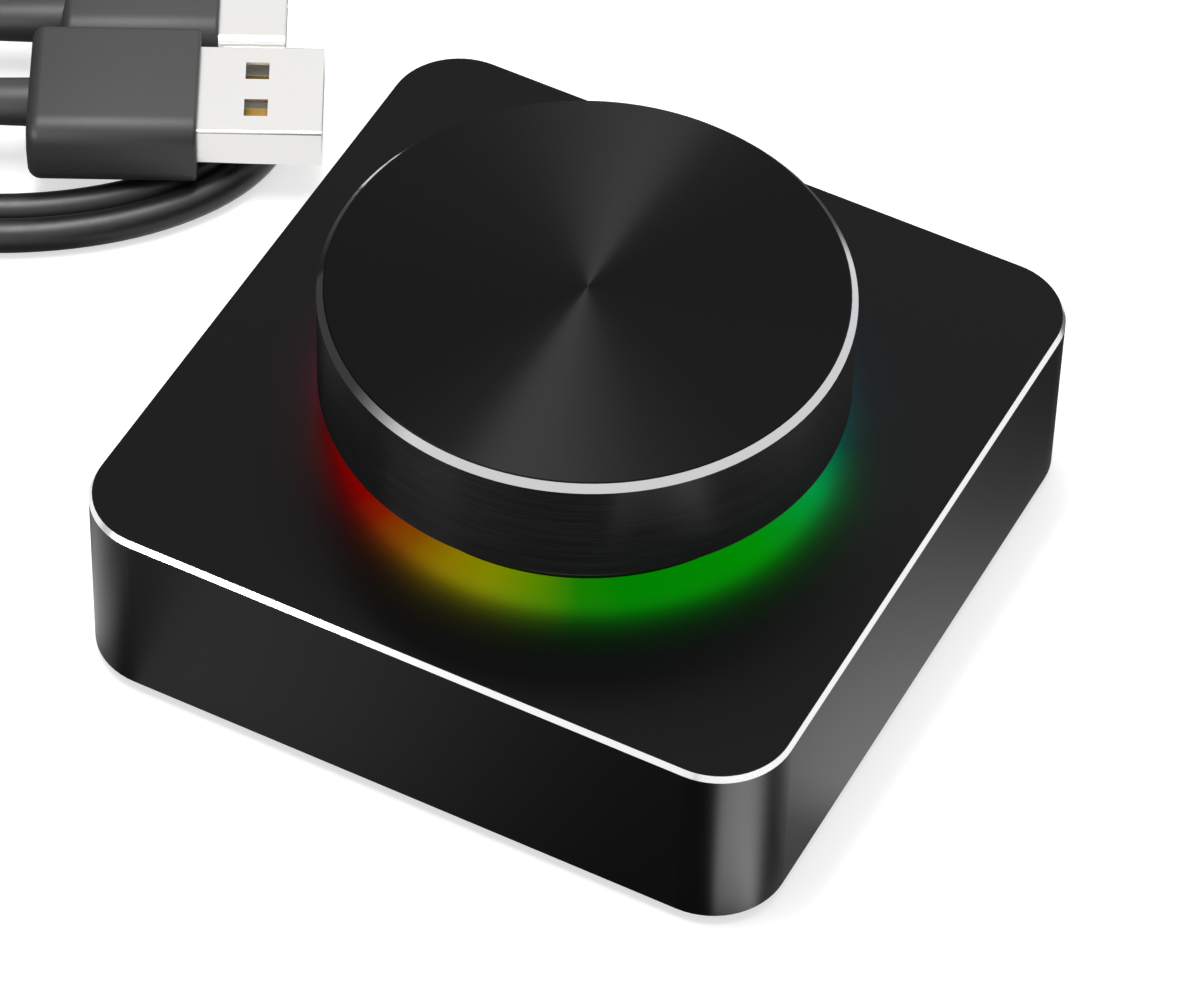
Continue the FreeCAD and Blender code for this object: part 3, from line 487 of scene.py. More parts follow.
# %% Node helpers
def linear(colour):
    """An sRGB hex colour as linear red, green, blue and alpha."""
    levels = [int(colour[i:i + 2], 16) / 255 for i in (1, 3, 5)]
    return (*[v / 12.92 if v <= 0.04045 else ((v + 0.055) / 1.055) ** 2.4 for v in levels], 1.0)


def first_output(source):
    return source.outputs[0] if isinstance(source, bpy.types.Node) else source


def add_node(tree, kind, settings=None, links=None):
    """Add a node of any kind. A colour ramp's stops are a list of positions and colours."""
    node = tree.nodes.new("ShaderNode" + kind)
    for key, value in (settings or {}).items():
        if key == "stops":
            stops = node.color_ramp.elements
            stops.remove(stops[1])
            for index, (position, colour) in enumerate(value):
                stop = stops.new(position) if index else stops[0]
                stop.position = position
                stop.color = colour
        elif isinstance(key, str) and hasattr(node, key):
            setattr(node, key, value)
        else:
            node.inputs[key].default_value = value
    for key, source in (links or {}).items():
        tree.links.new(first_output(source), node.inputs[key])
    return node


def new_finish(name, **sockets):
    """A material with one Principled shader, whose sockets are set by name."""
    material = bpy.data.materials.new(name)
    material.use_nodes = True
    tree = material.node_tree
    shader = tree.nodes["Principled BSDF"]
    for key, value in sockets.items():
        shader.inputs[key.replace("_", " ")].default_value = value
    return material, tree, shader


def drive(tree, shader, **sources):
    """Lead nodes or outputs to the shader's sockets, which are given by name."""
    for key, source in sources.items():
        tree.links.new(first_output(source), shader.inputs[key.replace("_", " ")])


def dress(material, *pieces):
    """Give a finish to pieces, or to CAD parts by name."""
    for piece in pieces:
        target = nodes[piece] if isinstance(piece, str) else piece
        slots = target.material_slots
        if slots:
            slots[0].material = material
        else:
            target.data.materials.append(material)


print("#808080 is", round(linear("#808080")[0], 3), "in linear light")

# %% [markdown]
# ## A finish with grain
# Moulded plastic, cast zinc, rubber and rolled sheet look different, but what gives them away is
# the same: a grain of some real size that moves their colour and gloss a little and roughens the
# surface. So one function builds all of those: a noise of the grain's size in millimetres drives
# colour, roughness and bump. A stretch turns round grain into drawing or brushing lines. Grain that
# is too fine to show is drawn at about 0.2 mm, the smallest that a close view still shows.

# %% Build a grained finish
def grained(name, dark, light, roughness, grain, depth, stretch=(1, 1, 1), metallic=0.0):
    """A finish that varies between two colours and roughnesses; grain and depth are in mm."""
    material, tree, shader = new_finish(name, Metallic=metallic)
    place = add_node(tree, "TexCoord").outputs["Object"]
    size = add_node(tree, "Mapping", {"Scale": [s / (grain * MM) for s in stretch]},
                    {"Vector": place})
    noise = add_node(tree, "TexNoise", {"Scale": 1.0, "Detail": 3.0, "Roughness": 0.6},
                     {"Vector": size}).outputs["Fac"]
    colour = add_node(tree, "Mix", {"data_type": "RGBA", 6: linear(dark), 7: linear(light)},
                      {0: noise})
    gloss = add_node(tree, "MapRange", {3: roughness[0], 4: roughness[1]}, {0: noise})
    bump = add_node(tree, "Bump", {"Distance": depth * MM, "Strength": 1.0}, {"Height": noise})
    drive(tree, shader, Base_Color=colour.outputs[2], Roughness=gloss, Normal=bump)
    return material


print("grained finish ready")

# %% [markdown]
# ## Finishes of the lead
# A moulded lead mixes six materials: satin vinyl on the cable, a softer elastomer on the plug
# bodies, nickel on the shells, nylon inside the USB-A plug, gold on its contacts and glossy vinyl
# on the tie. They differ mostly in gloss, so each gets its own roughness range; the shells get a
# grain stretched along the way the sheet was rolled.

# %% Lead and plugs
# Satin PVC jacket: extruded, so it is even, with soft highlights that waver a little.
pvc_jacket = grained("satin_pvc_jacket", "#101011", "#1C1C1D", (0.34, 0.46), 0.5, 0.004)
# Thermoplastic elastomer from a spark-eroded mould: greyer and duller than the jacket.
satin_elastomer = grained(
    "satin_moulded_elastomer", "#2A2A2B", "#333334", (0.42, 0.55), 0.25, 0.006)
# Nickel-plated steel, drawn and tumbled: bright, with faint rolling lines.
bright_nickel = grained(
    "bright_nickel_plated_steel", "#E4E3E0", "#F1F0EE", (0.16, 0.24), 0.4, 0.001, (1, 6, 6), 1.0)
# White glass-filled nylon of the USB-A tongue: warm white and half matt.
white_nylon = grained("white_moulded_nylon", "#E6E5E0", "#F0EFEA", (0.40, 0.50), 0.3, 0.003)
# Gold flash over nickel on the contacts: a thin, pale gold that still mirrors.
gold_flash = grained(
    "gold_flashed_contacts", "#DDB45A", "#E8C36C", (0.18, 0.26), 0.3, 0.001, (1, 5, 5), 1.0)
# Black PVC coating of the tie wire: glossy, because it is extruded and thin.
tie_coating = grained("glossy_pvc_coating", "#0B0B0C", "#141415", (0.18, 0.28), 0.4, 0.002)
dress(pvc_jacket, lead)
dress(satin_elastomer, a_body, c_body, a_relief, c_relief)
dress(bright_nickel, "c_plug_shell", "a_plug_shell", "usb_c_receptacle_shell")
dress(white_nylon, "a_plug_tongue")
dress(gold_flash, "a_plug_contacts", "usb_c_contacts")
dress(tie_coating, *tie_wires)
print("lead dressed, cable at", round(linear("#1C1C1D")[0], 4), "in linear light")

# %% [markdown]
# ## Masks for two finishes on one part
# The case and the knob are machined from aluminium, blasted or spun, anodised and dyed black; then
# a diamond tool cuts the bevel, which lays the bare metal open as a mirror-bright line. Each is one
# part with two or three finishes. Faces could be given materials by hand, but a mask tells them
# apart by the height and the direction of the surface, wherever the faces are.

# %% Measures and masks of a cut part
TILTED, UPRIGHT = 0.9, 0.5              # a face points up by 1 on a flat top and by 0 on a wall


def cut_part(tree, top, oxide_edge, bevel_depth, beyond=0.0):
    """Place in mm, its parts, radius, normal, and the masks of the cut bevel and upright walls.

    The cut lies from oxide_edge to bevel_depth mm below the top, further out than beyond.
    """
    place = add_node(tree, "TexCoord").outputs["Object"]
    in_mm = add_node(tree, "VectorMath", {"operation": "SCALE", "Scale": 1 / MM}, {0: place})
    parts = add_node(tree, "SeparateXYZ", links={0: in_mm}).outputs
    flat = add_node(tree, "CombineXYZ", links={0: parts[0], 1: parts[1]})
    radius = add_node(tree, "VectorMath", {"operation": "LENGTH"}, {0: flat})
    radius = radius.outputs["Value"]
    normal = add_node(tree, "NewGeometry").outputs["Normal"]
    facing = add_node(tree, "SeparateXYZ", links={0: normal}).outputs[2]
    bevel = add_node(tree, "Math", {"operation": "LESS_THAN", 1: TILTED}, {0: facing})
    for test, limit, measure in (("GREATER_THAN", top - bevel_depth, parts[2]),
                                 ("LESS_THAN", top - oxide_edge, parts[2]),
                                 ("GREATER_THAN", beyond, radius)):
        mask = add_node(tree, "Math", {"operation": test, 1: limit}, {0: measure})
        bevel = add_node(tree, "Math", {"operation": "MULTIPLY"}, {0: bevel, 1: mask})
    upright = add_node(tree, "Math", {"operation": "LESS_THAN", 1: UPRIGHT}, {0: facing})
    return in_mm, parts, radius, normal, bevel, upright


CASE_TOP, CASE_OXIDE_EDGE, CASE_BEVEL, CASE_BEYOND = 20.5, 0.09, 0.69, 30.0
case_finish, tree, case_shader = new_finish(
    "black_anodised_aluminium_case",
    Specular_IOR_Level=0.12, Anisotropic=0.8, Anisotropic_Rotation=0.25)
in_mm, parts, radius, normal, bevel, upright = cut_part(
    tree, CASE_TOP, CASE_OXIDE_EDGE, CASE_BEVEL, CASE_BEYOND)
print("bevel from", CASE_TOP - CASE_BEVEL, "mm up")

# %% [markdown]
# ## Anodised aluminium of the case
# The oxide layer is a clear ceramic full of dye: the base is nearly black and not metallic, and its
# sheen is weak. The masks choose between two or three values each: black or bare metal for the
# colour, the satin top, the rougher sides or the cut bevel for the gloss. The sides keep fine
# horizontal lines from milling, which smear the light up and down, so the grain direction there is
# the level direction along the wall; on the flat top it is the Y axis. The direction goes into the
# shader's tangent, turned by a quarter.

# %% Colour, gloss and lines of the case
TOP_GLOSS, SIDE_GLOSS, BEVEL_GLOSS = 0.28, 0.45, 0.14
BLASTED_GRAIN = 0.15        # really a few hundredths of a mm, drawn coarser so that it shows
LINE_LENGTH, LINE_PITCH = 9, 0.16

base = add_node(tree, "Mix", {"data_type": "RGBA", 6: linear("#060607"), 7: linear("#F4F5F6")},
                {0: bevel})
gloss = add_node(tree, "MapRange", {3: TOP_GLOSS, 4: SIDE_GLOSS}, {0: upright})
gloss = add_node(tree, "Mix", {3: BEVEL_GLOSS}, {0: bevel, 2: gloss})
level_way = add_node(tree, "VectorMath", {"operation": "CROSS_PRODUCT", 0: (0, 0, 1)}, {1: normal})
grain_way = add_node(tree, "Mix", {"data_type": "VECTOR", 4: (0, 1, 0)}, {0: upright, 5: level_way})
blasted = add_node(tree, "TexNoise", {"Scale": 1 / BLASTED_GRAIN, "Detail": 2.0}, {"Vector": in_mm})
lines = add_node(tree, "Mapping", {"Scale": (1 / LINE_LENGTH, 1 / LINE_LENGTH, 1 / LINE_PITCH)},
                 {"Vector": in_mm})
milled = add_node(tree, "TexNoise", {"Scale": 1.0, "Detail": 3.0}, {"Vector": lines})
height = add_node(tree, "Mix", links={
    0: upright, 2: blasted.outputs["Fac"], 3: milled.outputs["Fac"]})
bump = add_node(tree, "Bump", {"Distance": 0.004 * MM, "Strength": 0.6}, {"Height": height})
drive(tree, case_shader, Base_Color=base.outputs[2], Metallic=bevel, Roughness=gloss,
      Normal=bump, Tangent=grain_way.outputs[1])
print(len(tree.nodes), "nodes so far")

# %% [markdown]
# ## Colours of the light
# Twelve coloured diodes shine up through the milky ring under the knob. Going round, their hues run
# through the whole wheel: red, amber, green and teal in front, blue and violet behind. A colour
# ramp holds the wheel, and the angle about the knob's axis, as a share of a turn, looks it up.

# %% Hue wheel
HUES = [(0.0, "#019440"), (0.044, "#005C4A"), (0.222, "#0A2C8C"), (0.361, "#4A1490"),
        (0.500, "#84005A"), (0.600, "#820303"), (0.662, "#820000"), (0.683, "#811D00"),
        (0.711, "#804900"), (0.739, "#887400"), (0.767, "#7E8500"), (0.794, "#5A8500"),
        (0.822, "#187D00"), (0.850, "#018000"), (0.906, "#008600"), (0.940, "#008C02"),
        (0.965, "#018D18"), (1.0, "#019440")]


def hue_wheel(tree, parts):
    """Colour of the light at each angle about the knob's axis, and that angle."""
    angle = add_node(tree, "Math", {"operation": "ARCTAN2"}, {0: parts[1], 1: parts[0]})
    turns = add_node(tree, "Math", {"operation": "DIVIDE", 1: math.tau}, {0: angle})
    share = add_node(tree, "Math", {"operation": "FRACT"}, {0: turns})
    stops = [(position, linear(colour)) for position, colour in HUES]
    wheel = add_node(tree, "ValToRGB", {"stops": stops}, {0: share})
    return wheel, angle


wheel, angle = hue_wheel(tree, parts)
print(len(HUES), "hues round the wheel")

# %% [markdown]
# ## Glow on the case
# The light comes out through the gap below the knob, and the black top round it shows a soft wheel
# of colour. The black finish throws back so little that traced light would need hundreds of
# samples to show it, so the glow is a faint emission painted on the top: hue by the angle about the
# knob's axis, strength by the distance from an edge. That edge bulges by up to 3 mm towards the
# front right, where the glow reaches out furthest.

# %% Fall-off of the glow
FALL_OFF = [(-1.9, 1.0), (-1.2, 0.93), (-0.7, 0.79), (-0.2, 0.60), (0.3, 0.39), (0.8, 0.27),
            (1.3, 0.165), (2.3, 0.072), (3.3, 0.033), (5.0, 0.009), (7.1, 0.0)]
GLOW_EDGE, GLOW_BULGE, BULGE_WAY = 23.16, 3.04, math.radians(-56)
GLOW_SINK = 0.4                         # mm that it goes down over the edge of the opening

front = add_node(tree, "Math", {"operation": "SUBTRACT", 1: BULGE_WAY}, {0: angle})
front = add_node(tree, "Math", {"operation": "COSINE"}, {0: front})
front = add_node(tree, "Math", {"operation": "MAXIMUM", 1: 0.0}, {0: front})
edge = add_node(tree, "Math", {"operation": "MULTIPLY_ADD", 1: GLOW_BULGE, 2: GLOW_EDGE},
                {0: front})
beyond = add_node(tree, "Math", {"operation": "SUBTRACT"}, {0: radius, 1: edge})
# A colour ramp runs from 0 to 1, so the distances of the fall-off are squeezed into that range.
near, far = FALL_OFF[0][0], FALL_OFF[-1][0]
span = add_node(tree, "MapRange", {1: near, 2: far}, {0: beyond})
stops = [((distance - near) / (far - near), (level, level, level, 1))
         for distance, level in FALL_OFF]
fall = add_node(tree, "ValToRGB", {"stops": stops}, {0: span})
top_side = add_node(tree, "Math", {"operation": "GREATER_THAN", 1: CASE_TOP - GLOW_SINK},
                    {0: parts[2]})
strength = add_node(tree, "Math", {"operation": "MULTIPLY"}, {0: fall, 1: top_side})
glow = add_node(tree, "VectorMath", {"operation": "SCALE"}, {0: wheel, "Scale": strength})
drive(tree, case_shader, Emission_Color=glow)
case_shader.inputs["Emission Strength"].default_value = 1.0
dress(case_finish, "case_shell")
print("case dressed,", len(tree.nodes), "nodes")

# %% [markdown]
# ## Spun knob
# The knob is turned on a lathe from aluminium bar. The tool leaves circular grooves on its face and
# its side, far finer than a pixel, that spread light across themselves: that is what makes the two
# bright fans. Drawing the grooves would only give noise, so an anisotropic shader stands for them,
# with a tangent that runs round the Z axis. A faint bump in circles adds the few deeper grooves.
# The bevel is cut last, and is so smooth that it mirrors the studio sharply.

# %% Finish of the knob
KNOB_TOP, KNOB_OXIDE_EDGE, KNOB_BEVEL = 35.53, 0.12, 0.79
SPUN_GLOSS, MIRROR_GLOSS = 0.31, 0.05
GROOVE_PITCH = 0.14                     # mm; the real ones are finer
GROOVE_CHANGES = 3.0                    # times that a groove changes along a radian

knob_finish, tree, knob_shader = new_finish(
    "black_anodised_spun_aluminium",
    Specular_IOR_Level=0.09, Anisotropic=1.0, Anisotropic_Rotation=0.25)
in_mm, parts, radius, normal, bevel, upright = cut_part(
    tree, KNOB_TOP, KNOB_OXIDE_EDGE, KNOB_BEVEL)
# On the face the grooves follow the radius, on the side the height.
angle = add_node(tree, "Math", {"operation": "ARCTAN2"}, {0: parts[1], 1: parts[0]})
groove = add_node(tree, "CombineXYZ", links={0: radius, 1: parts[2], 2: angle})
groove = add_node(tree, "Mapping", {
    "Scale": (1 / GROOVE_PITCH, 1 / GROOVE_PITCH, GROOVE_CHANGES)}, {"Vector": groove})
turned = add_node(tree, "TexNoise", {"Scale": 1.0, "Detail": 3.0}, {"Vector": groove})
streak = add_node(tree, "MapRange", {1: 0.35, 2: 0.65}, {0: turned.outputs["Fac"]})
# The side's base is a lighter grey than the black top: a painted sheen, with the turning streaks in
# it.
streaked_sheen_side = add_node(tree, "Mix", {"data_type": "RGBA", 6: linear("#181819"), 7: linear("#272729")},
                   {0: streak})
black = add_node(tree, "Mix", {"data_type": "RGBA", 6: linear("#060607")},
                 {0: upright, 7: streaked_sheen_side.outputs[2]})
base = add_node(tree, "Mix", {"data_type": "RGBA", 7: linear("#CDCED0")},
                {0: bevel, 6: black.outputs[2]})
gloss = add_node(tree, "Mix", {2: SPUN_GLOSS, 3: MIRROR_GLOSS}, {0: bevel})
tangent = add_node(tree, "Tangent", {"direction_type": "RADIAL", "axis": "Z"})
bump = add_node(tree, "Bump", {"Distance": 0.002 * MM, "Strength": 0.5},
                {"Height": turned.outputs["Fac"]})
drive(tree, knob_shader, Base_Color=base.outputs[2], Metallic=bevel, Roughness=gloss,
      Tangent=tangent, Normal=bump)
dress(knob_finish, "knob_cap")
print("knob dressed,", len(tree.nodes), "nodes")

# %% [markdown]
# ## Light ring
# The ring is moulded from milky acrylic, which scatters the diodes' light. It glows by itself in
# the same wheel of hues, a little stronger over each of the twelve diodes. Its outer edge, where it
# meets the case, is painted black and does not glow: painted shade for the shadow under the knob's
# lower edge, which draws a thin dark line between the ring and the case.

# %% Finish of the light ring
DIODES, FIRST_DIODE = 12, math.radians(13)
RING_LIGHT, DIODE_LIGHT, LIT_RADIUS = 1.9, 0.4, 20.8
HAZE = 900.0                            # clouds to a metre, so each is about 1.1 mm wide

ring_finish, tree, ring_shader = new_finish("milky_acrylic_light_ring", Roughness=0.35, IOR=1.49)
place = add_node(tree, "TexCoord").outputs["Object"]
parts = add_node(tree, "SeparateXYZ", links={0: place}).outputs
wheel, angle = hue_wheel(tree, parts)
spots = add_node(tree, "Math", {"operation": "MULTIPLY_ADD", 1: DIODES, 2: -DIODES * FIRST_DIODE},
                 {0: angle})
spots = add_node(tree, "Math", {"operation": "COSINE"}, {0: spots})
spots = add_node(tree, "Math", {"operation": "MULTIPLY_ADD", 1: DIODE_LIGHT, 2: RING_LIGHT},
                 {0: spots})
flat = add_node(tree, "CombineXYZ", links={0: parts[0], 1: parts[1]})
radius = add_node(tree, "VectorMath", {"operation": "LENGTH"}, {0: flat})
# Outside this radius the ring is painted black and unlit: painted shade for the knob's shadow.
rim = add_node(tree, "Math", {"operation": "GREATER_THAN", 1: LIT_RADIUS * MM},
               {0: radius.outputs["Value"]})
lit = add_node(tree, "Math", {"operation": "SUBTRACT", 0: 1.0}, {1: rim})
lit = add_node(tree, "Math", {"operation": "MULTIPLY"}, {0: lit, 1: spots})
glow = add_node(tree, "VectorMath", {"operation": "SCALE"}, {0: wheel, "Scale": lit})
haze = add_node(tree, "TexNoise", {"Scale": HAZE, "Detail": 2.0}, {"Vector": place})
milk = add_node(tree, "Mix", {"data_type": "RGBA", 6: linear("#D9DCDF"), 7: linear("#E8EAEC")},
                {0: haze.outputs["Fac"]})
# The black on the rim is painted shade.
milk = add_node(tree, "Mix", {"data_type": "RGBA", 7: linear("#0B0B0B")},
                {0: rim, 6: milk.outputs[2]})
drive(tree, ring_shader, Base_Color=milk.outputs[2], Emission_Color=glow)
ring_shader.inputs["Emission Strength"].default_value = 1.0
dress(ring_finish, "light_diffuser")
print("light ring dressed,", DIODES, "spots")

# %% [markdown]
# ## Inside and underneath
# What the case hides is finished as carefully, for anyone who takes the model apart. All of these
# are grained finishes, so each row needs only its own colours, gloss, grain and depth.

# %% Plastics, rubber and steel
inside = [
    # ABS with a spark-eroded mould texture: dull, fine-grained.
    (grained("textured_black_abs", "#191919", "#232323", (0.55, 0.70), 0.35, 0.02),
     ["bottom_cover", "knob_core"]),
    # Punched natural-rubber sheet: dead matt.
    (grained("matte_black_rubber", "#141414", "#1D1D1D", (0.78, 0.90), 0.5, 0.02), feet),
    # Cold-rolled steel, zinc plated: greyish, with rolling lines along X.
    (grained("zinc_plated_steel_plate", "#9A9DA1", "#B4B6B8", (0.38, 0.50), 0.6, 0.003,
             (0.15, 2, 2), 1.0), ["ballast_plate", "encoder_washer", "encoder_yoke"]),
    # Screw steel with black zinc: dark, with a metal's glint.
    (grained("black_zinc_screw_steel", "#2A2A2C", "#3A3A3C", (0.30, 0.42), 0.3, 0.002,
             metallic=1.0), ["cover_screws", "board_screws"]),
    # PBT with glass fibre: faint streaks of fibre.
    (grained("glass_filled_black_pbt", "#17191A", "#202324", (0.45, 0.60), 0.4, 0.008,
             (0.4, 1, 1)), ["encoder_base"]),
    # Zinc die-casting, nickel flashed: soft grey shine with a cast skin.
    (grained("nickel_flashed_zinc_casting", "#A9AAA8", "#C2C3C0", (0.30, 0.45), 0.5, 0.006,
             metallic=1.0), ["encoder_housing", "encoder_nut"]),
    # Acetal: waxy white.
    (grained("natural_acetal", "#D8D6CC", "#E4E2DA", (0.38, 0.46), 0.6, 0.003),
     ["encoder_rotor"]),
    # Spring steel, bright rolled: warm grey, with long fine lines.
    (grained("bright_spring_steel", "#A7A39A", "#BDB9B0", (0.22, 0.32), 0.4, 0.001,
             (1, 6, 6), 1.0), ["hub_clip", "detent_spring", dome]),
    # Phosphor bronze of the wiper: reddish gold.
    (grained("phosphor_bronze", "#C98F5C", "#D9A26E", (0.25, 0.35), 0.4, 0.001,
             (6, 1, 1), 1.0), ["contact_wiper"]),
    # Turned steel shaft: rings round the axis.
    (grained("turned_steel_shaft", "#B2B1AE", "#C8C7C4", (0.20, 0.32), 0.3, 0.003,
             (0.2, 0.2, 2), 1.0), ["encoder_shaft"]),
    # Tinned brass terminals: white metal, a little cloudy.
    (grained("tinned_brass_terminals", "#B9BABB", "#D0D1D2", (0.30, 0.42), 0.3, 0.003,
             metallic=1.0), ["encoder_terminals"]),
    # Liquid-crystal polymer of the port's tongue: black and half matt.
    (grained("black_liquid_crystal_polymer", "#141415", "#1E1E20", (0.45, 0.58), 0.25, 0.004),
     ["usb_c_tongue"]),
    # White package of the diodes: clean and slightly glossy.
    (grained("white_diode_package", "#DAD9D2", "#E8E7E1", (0.35, 0.45), 0.3, 0.004),
     ["rgb_leds"]),
    # Fired barium titanate: tan ceramic.
    (grained("fired_ceramic_chip", "#7D6350", "#937761", (0.45, 0.60), 0.2, 0.005),
     ["ceramic_capacitors"]),
    # Epoxy moulded round a chip: black with a fine matt skin.
    (grained("moulded_epoxy", "#161617", "#202021", (0.50, 0.65), 0.2, 0.006),
     ["protection_chip"]),
]
for material, pieces in inside:
    dress(material, *pieces)
    print(material.name, "on", len(pieces))

# %% [markdown]
# ## Chips, capacitor and resistors
# These parts are one CAD body each, but two materials: black epoxy with tinned legs, or a can on a
# black foot. As on the case, a mask made from the place of the surface tells them apart. Only the
# measure differs from part to part, so it is handed in as a function.

# %% Chips with metal legs and ends
def two_part(name, dark, light, measure):
    """A finish that is bare tin where a measure of the place says so, and moulded elsewhere."""
    grain = 0.25 * MM
    material, tree, shader = new_finish(name, Roughness=0.4)
    place = add_node(tree, "TexCoord").outputs["Object"]
    parts = add_node(tree, "SeparateXYZ", links={0: place}).outputs
    noise = add_node(tree, "TexNoise", {"Scale": 1 / grain, "Detail": 2.0}, {"Vector": place})
    body = add_node(tree, "Mix", {"data_type": "RGBA", 6: linear(dark), 7: linear(light)},
                    {0: noise.outputs["Fac"]})
    mask = measure(tree, parts)
    colour = add_node(tree, "Mix", {"data_type": "RGBA", 7: linear("#C9CACB")},
                      {0: mask, 6: body.outputs[2]})
    drive(tree, shader, Base_Color=colour.outputs[2], Metallic=mask)
    return material


def legs_beside(tree, parts):
    """The controller's legs stand out past its body, 1.95 mm either side of x = -24."""
    off = add_node(tree, "Math", {"operation": "ADD", 1: 24 * MM}, {0: parts[0]})
    off = add_node(tree, "Math", {"operation": "ABSOLUTE"}, {0: off})
    return add_node(tree, "Math", {"operation": "GREATER_THAN", 1: 1.97 * MM}, {0: off})


def tinned_ends(tree, parts):
    """Chip ends: 0.3 mm of each end of a 1.6 mm body, the bodies 2.4 mm apart along Y."""
    pitch, middle, body, end = 2.4, 27.65, 1.6, 0.3
    turn = add_node(tree, "Math", {"operation": "MULTIPLY_ADD", 1: 1 / (pitch * MM),
                                   2: 0.5 - middle / pitch}, {0: parts[1]})
    share = add_node(tree, "Math", {"operation": "FRACT"}, {0: turn})
    off = add_node(tree, "Math", {"operation": "SUBTRACT", 1: 0.5}, {0: share})
    off = add_node(tree, "Math", {"operation": "ABSOLUTE"}, {0: off})
    return add_node(tree, "Math", {"operation": "GREATER_THAN", 1: (body / 2 - end) / pitch},
                    {0: off})


def above_foot(tree, parts):
    """The capacitor's aluminium can starts 1 mm above the board."""
    return add_node(tree, "Math", {"operation": "GREATER_THAN", 1: 11.0 * MM}, {0: parts[2]})


dress(two_part("moulded_epoxy_with_tinned_legs", "#161617", "#1F1F20", legs_beside),
      "controller_chip")
dress(two_part("chip_resistor_with_tinned_ends", "#141418", "#1C1C22", tinned_ends),
      "chip_resistors")
dress(two_part("aluminium_can_on_black_foot", "#101011", "#19191A", above_foot),
      "bulk_capacitor")
print("chips dressed,", len(bpy.data.materials), "materials so far")

# %% [markdown]
# ## Circuit board
# Glass-epoxy board under green solder mask. The copper traces show through the mask as slightly
# lighter lines with square turns: a brick pattern of thin mortar gives such lines.

# %% Finish of the board
FIELD = 4                               # mm that the pattern takes as one
TRACE_LENGTH, TRACE_SPACING, TRACE_WIDTH = 6.8, 2.2, 0.14

board_finish, tree, board_shader = new_finish("green_solder_mask", Roughness=0.3, IOR=1.5)
place = add_node(tree, "TexCoord").outputs["Object"]
in_mm = add_node(tree, "VectorMath", {"operation": "SCALE", "Scale": 1 / MM}, {0: place})
traces = add_node(tree, "TexBrick", {
    "Scale": 1 / FIELD, "Brick Width": TRACE_LENGTH / FIELD, "Row Height": TRACE_SPACING / FIELD,
    "Mortar Size": TRACE_WIDTH / FIELD, "Mortar Smooth": 0.2, "Bias": 0.0, "offset": 0.37,
    "Color1": linear("#0E3A22"), "Color2": linear("#0F3F25"), "Mortar": linear("#1B5A38")},
    {"Vector": in_mm})
rise = add_node(tree, "Bump", {"Distance": 0.02 * MM, "Strength": 0.5},
                {"Height": traces.outputs["Fac"]})
drive(tree, board_shader, Base_Color=traces.outputs["Color"], Normal=rise)
dress(board_finish, "main_board")
print("board dressed")

# %% [markdown]
# ## Cards on the floor
# Black gloss shows mostly what is around it: in a studio one lays white and black cards beside the
# object, just outside the picture, to draw its edges. Here the cards are patches of the floor that
# only reflections see. A card is given by four places along each of two measures: it fades in
# between the first two and out between the last two. The measures are x and y in mm, or, for the
# two fan-shaped cards, the bearing in degrees and the distance in mm from a corner of the case.

# %% Cut the cards
FAR = 4000                              # so far out that the card has no end there
DARK_CARDS = [((-30, 24, 50, 75), (-FAR - 1, -FAR, -36, -30), 1.0),
              ((36, 40, 60, 70), (-32, -30, -25, -22), 0.7),
              ((33, 38, 60, 80), (10, 46, 80, 100), 0.85),
              ((-FAR - 1, -FAR, -62, -50), (-20, 0, FAR, FAR + 1), 0.85),
              ((-FAR - 1, -FAR, 10, 40), (42, 62, FAR, FAR + 1), 0.9)]
BRIGHT_CARDS = [((30, 34, 44, 60), (-21, -13, -12, 28), 1.9),
                ((-70, -60, -38, -33), (-44, -40, -30, -24), 2.5),
                ((-30, -24, -14, 10), (-60, -50, -38, -35), 0.2)]
LEFT_CORNER, FRONT_CORNER = (-27.3, -33.2, 0), (29.8, -31.8, 0)
DARK_FAN = ((-162, -144, -118, -104), (1, 3, 80, 160), 1.0)
BRIGHT_FAN = ((-66, -52, -4, 12), (2, 9, 50, 70), 13.3)


def card(tree, measures, first, second, strength):
    """A patch with soft edges, as a level that is 0 beside it and the strength on it."""
    covered = None
    for measure, (a, b, c, d) in zip(measures, (first, second)):
        for low, high, start, end in ((a, b, 0.0, 1.0), (c, d, 1.0, 0.0)):
            ramp = add_node(tree, "MapRange", {"interpolation_type": "SMOOTHSTEP", 1: low,
                                               2: high, 3: start, 4: end}, {0: measure})
            if covered is None:
                covered = ramp
            else:
                covered = add_node(tree, "Math", {"operation": "MULTIPLY"}, {0: covered, 1: ramp})
    return add_node(tree, "Math", {"operation": "MULTIPLY", 1: strength}, {0: covered})


def spread_from(tree, in_mm, corner):
    """Bearing in degrees and distance in mm of every place on the floor, from a corner."""
    away = add_node(tree, "VectorMath", {"operation": "SUBTRACT", 1: corner}, {0: in_mm})
    distance = add_node(tree, "VectorMath", {"operation": "LENGTH"}, {0: away})
    away = add_node(tree, "SeparateXYZ", links={0: away})
    bearing = add_node(tree, "Math", {"operation": "ARCTAN2"}, {0: away.outputs[1], 1: away})
    bearing = add_node(tree, "Math", {"operation": "DEGREES"}, {0: bearing})
    return bearing, distance.outputs["Value"]


print(len(DARK_CARDS) + 1, "dark cards and", len(BRIGHT_CARDS) + 1, "bright ones")

# %% [markdown]
# ## Floor
# The object stands on a plain white paper sweep. It is part diffuse, so that it keeps the soft
# shadow, and part emission for the camera, so that it reaches white without stronger lamps. For
# reflections it is as bright as white paper, darkened and then brightened by the cards: a dark fan
# ends the left corner's sheen, and the brightest card draws the upright highlight on the round
# front corner.

# %% Lay the floor
PAPER_LIFT = 0.62
WHITE = (1, 1, 1, 1)

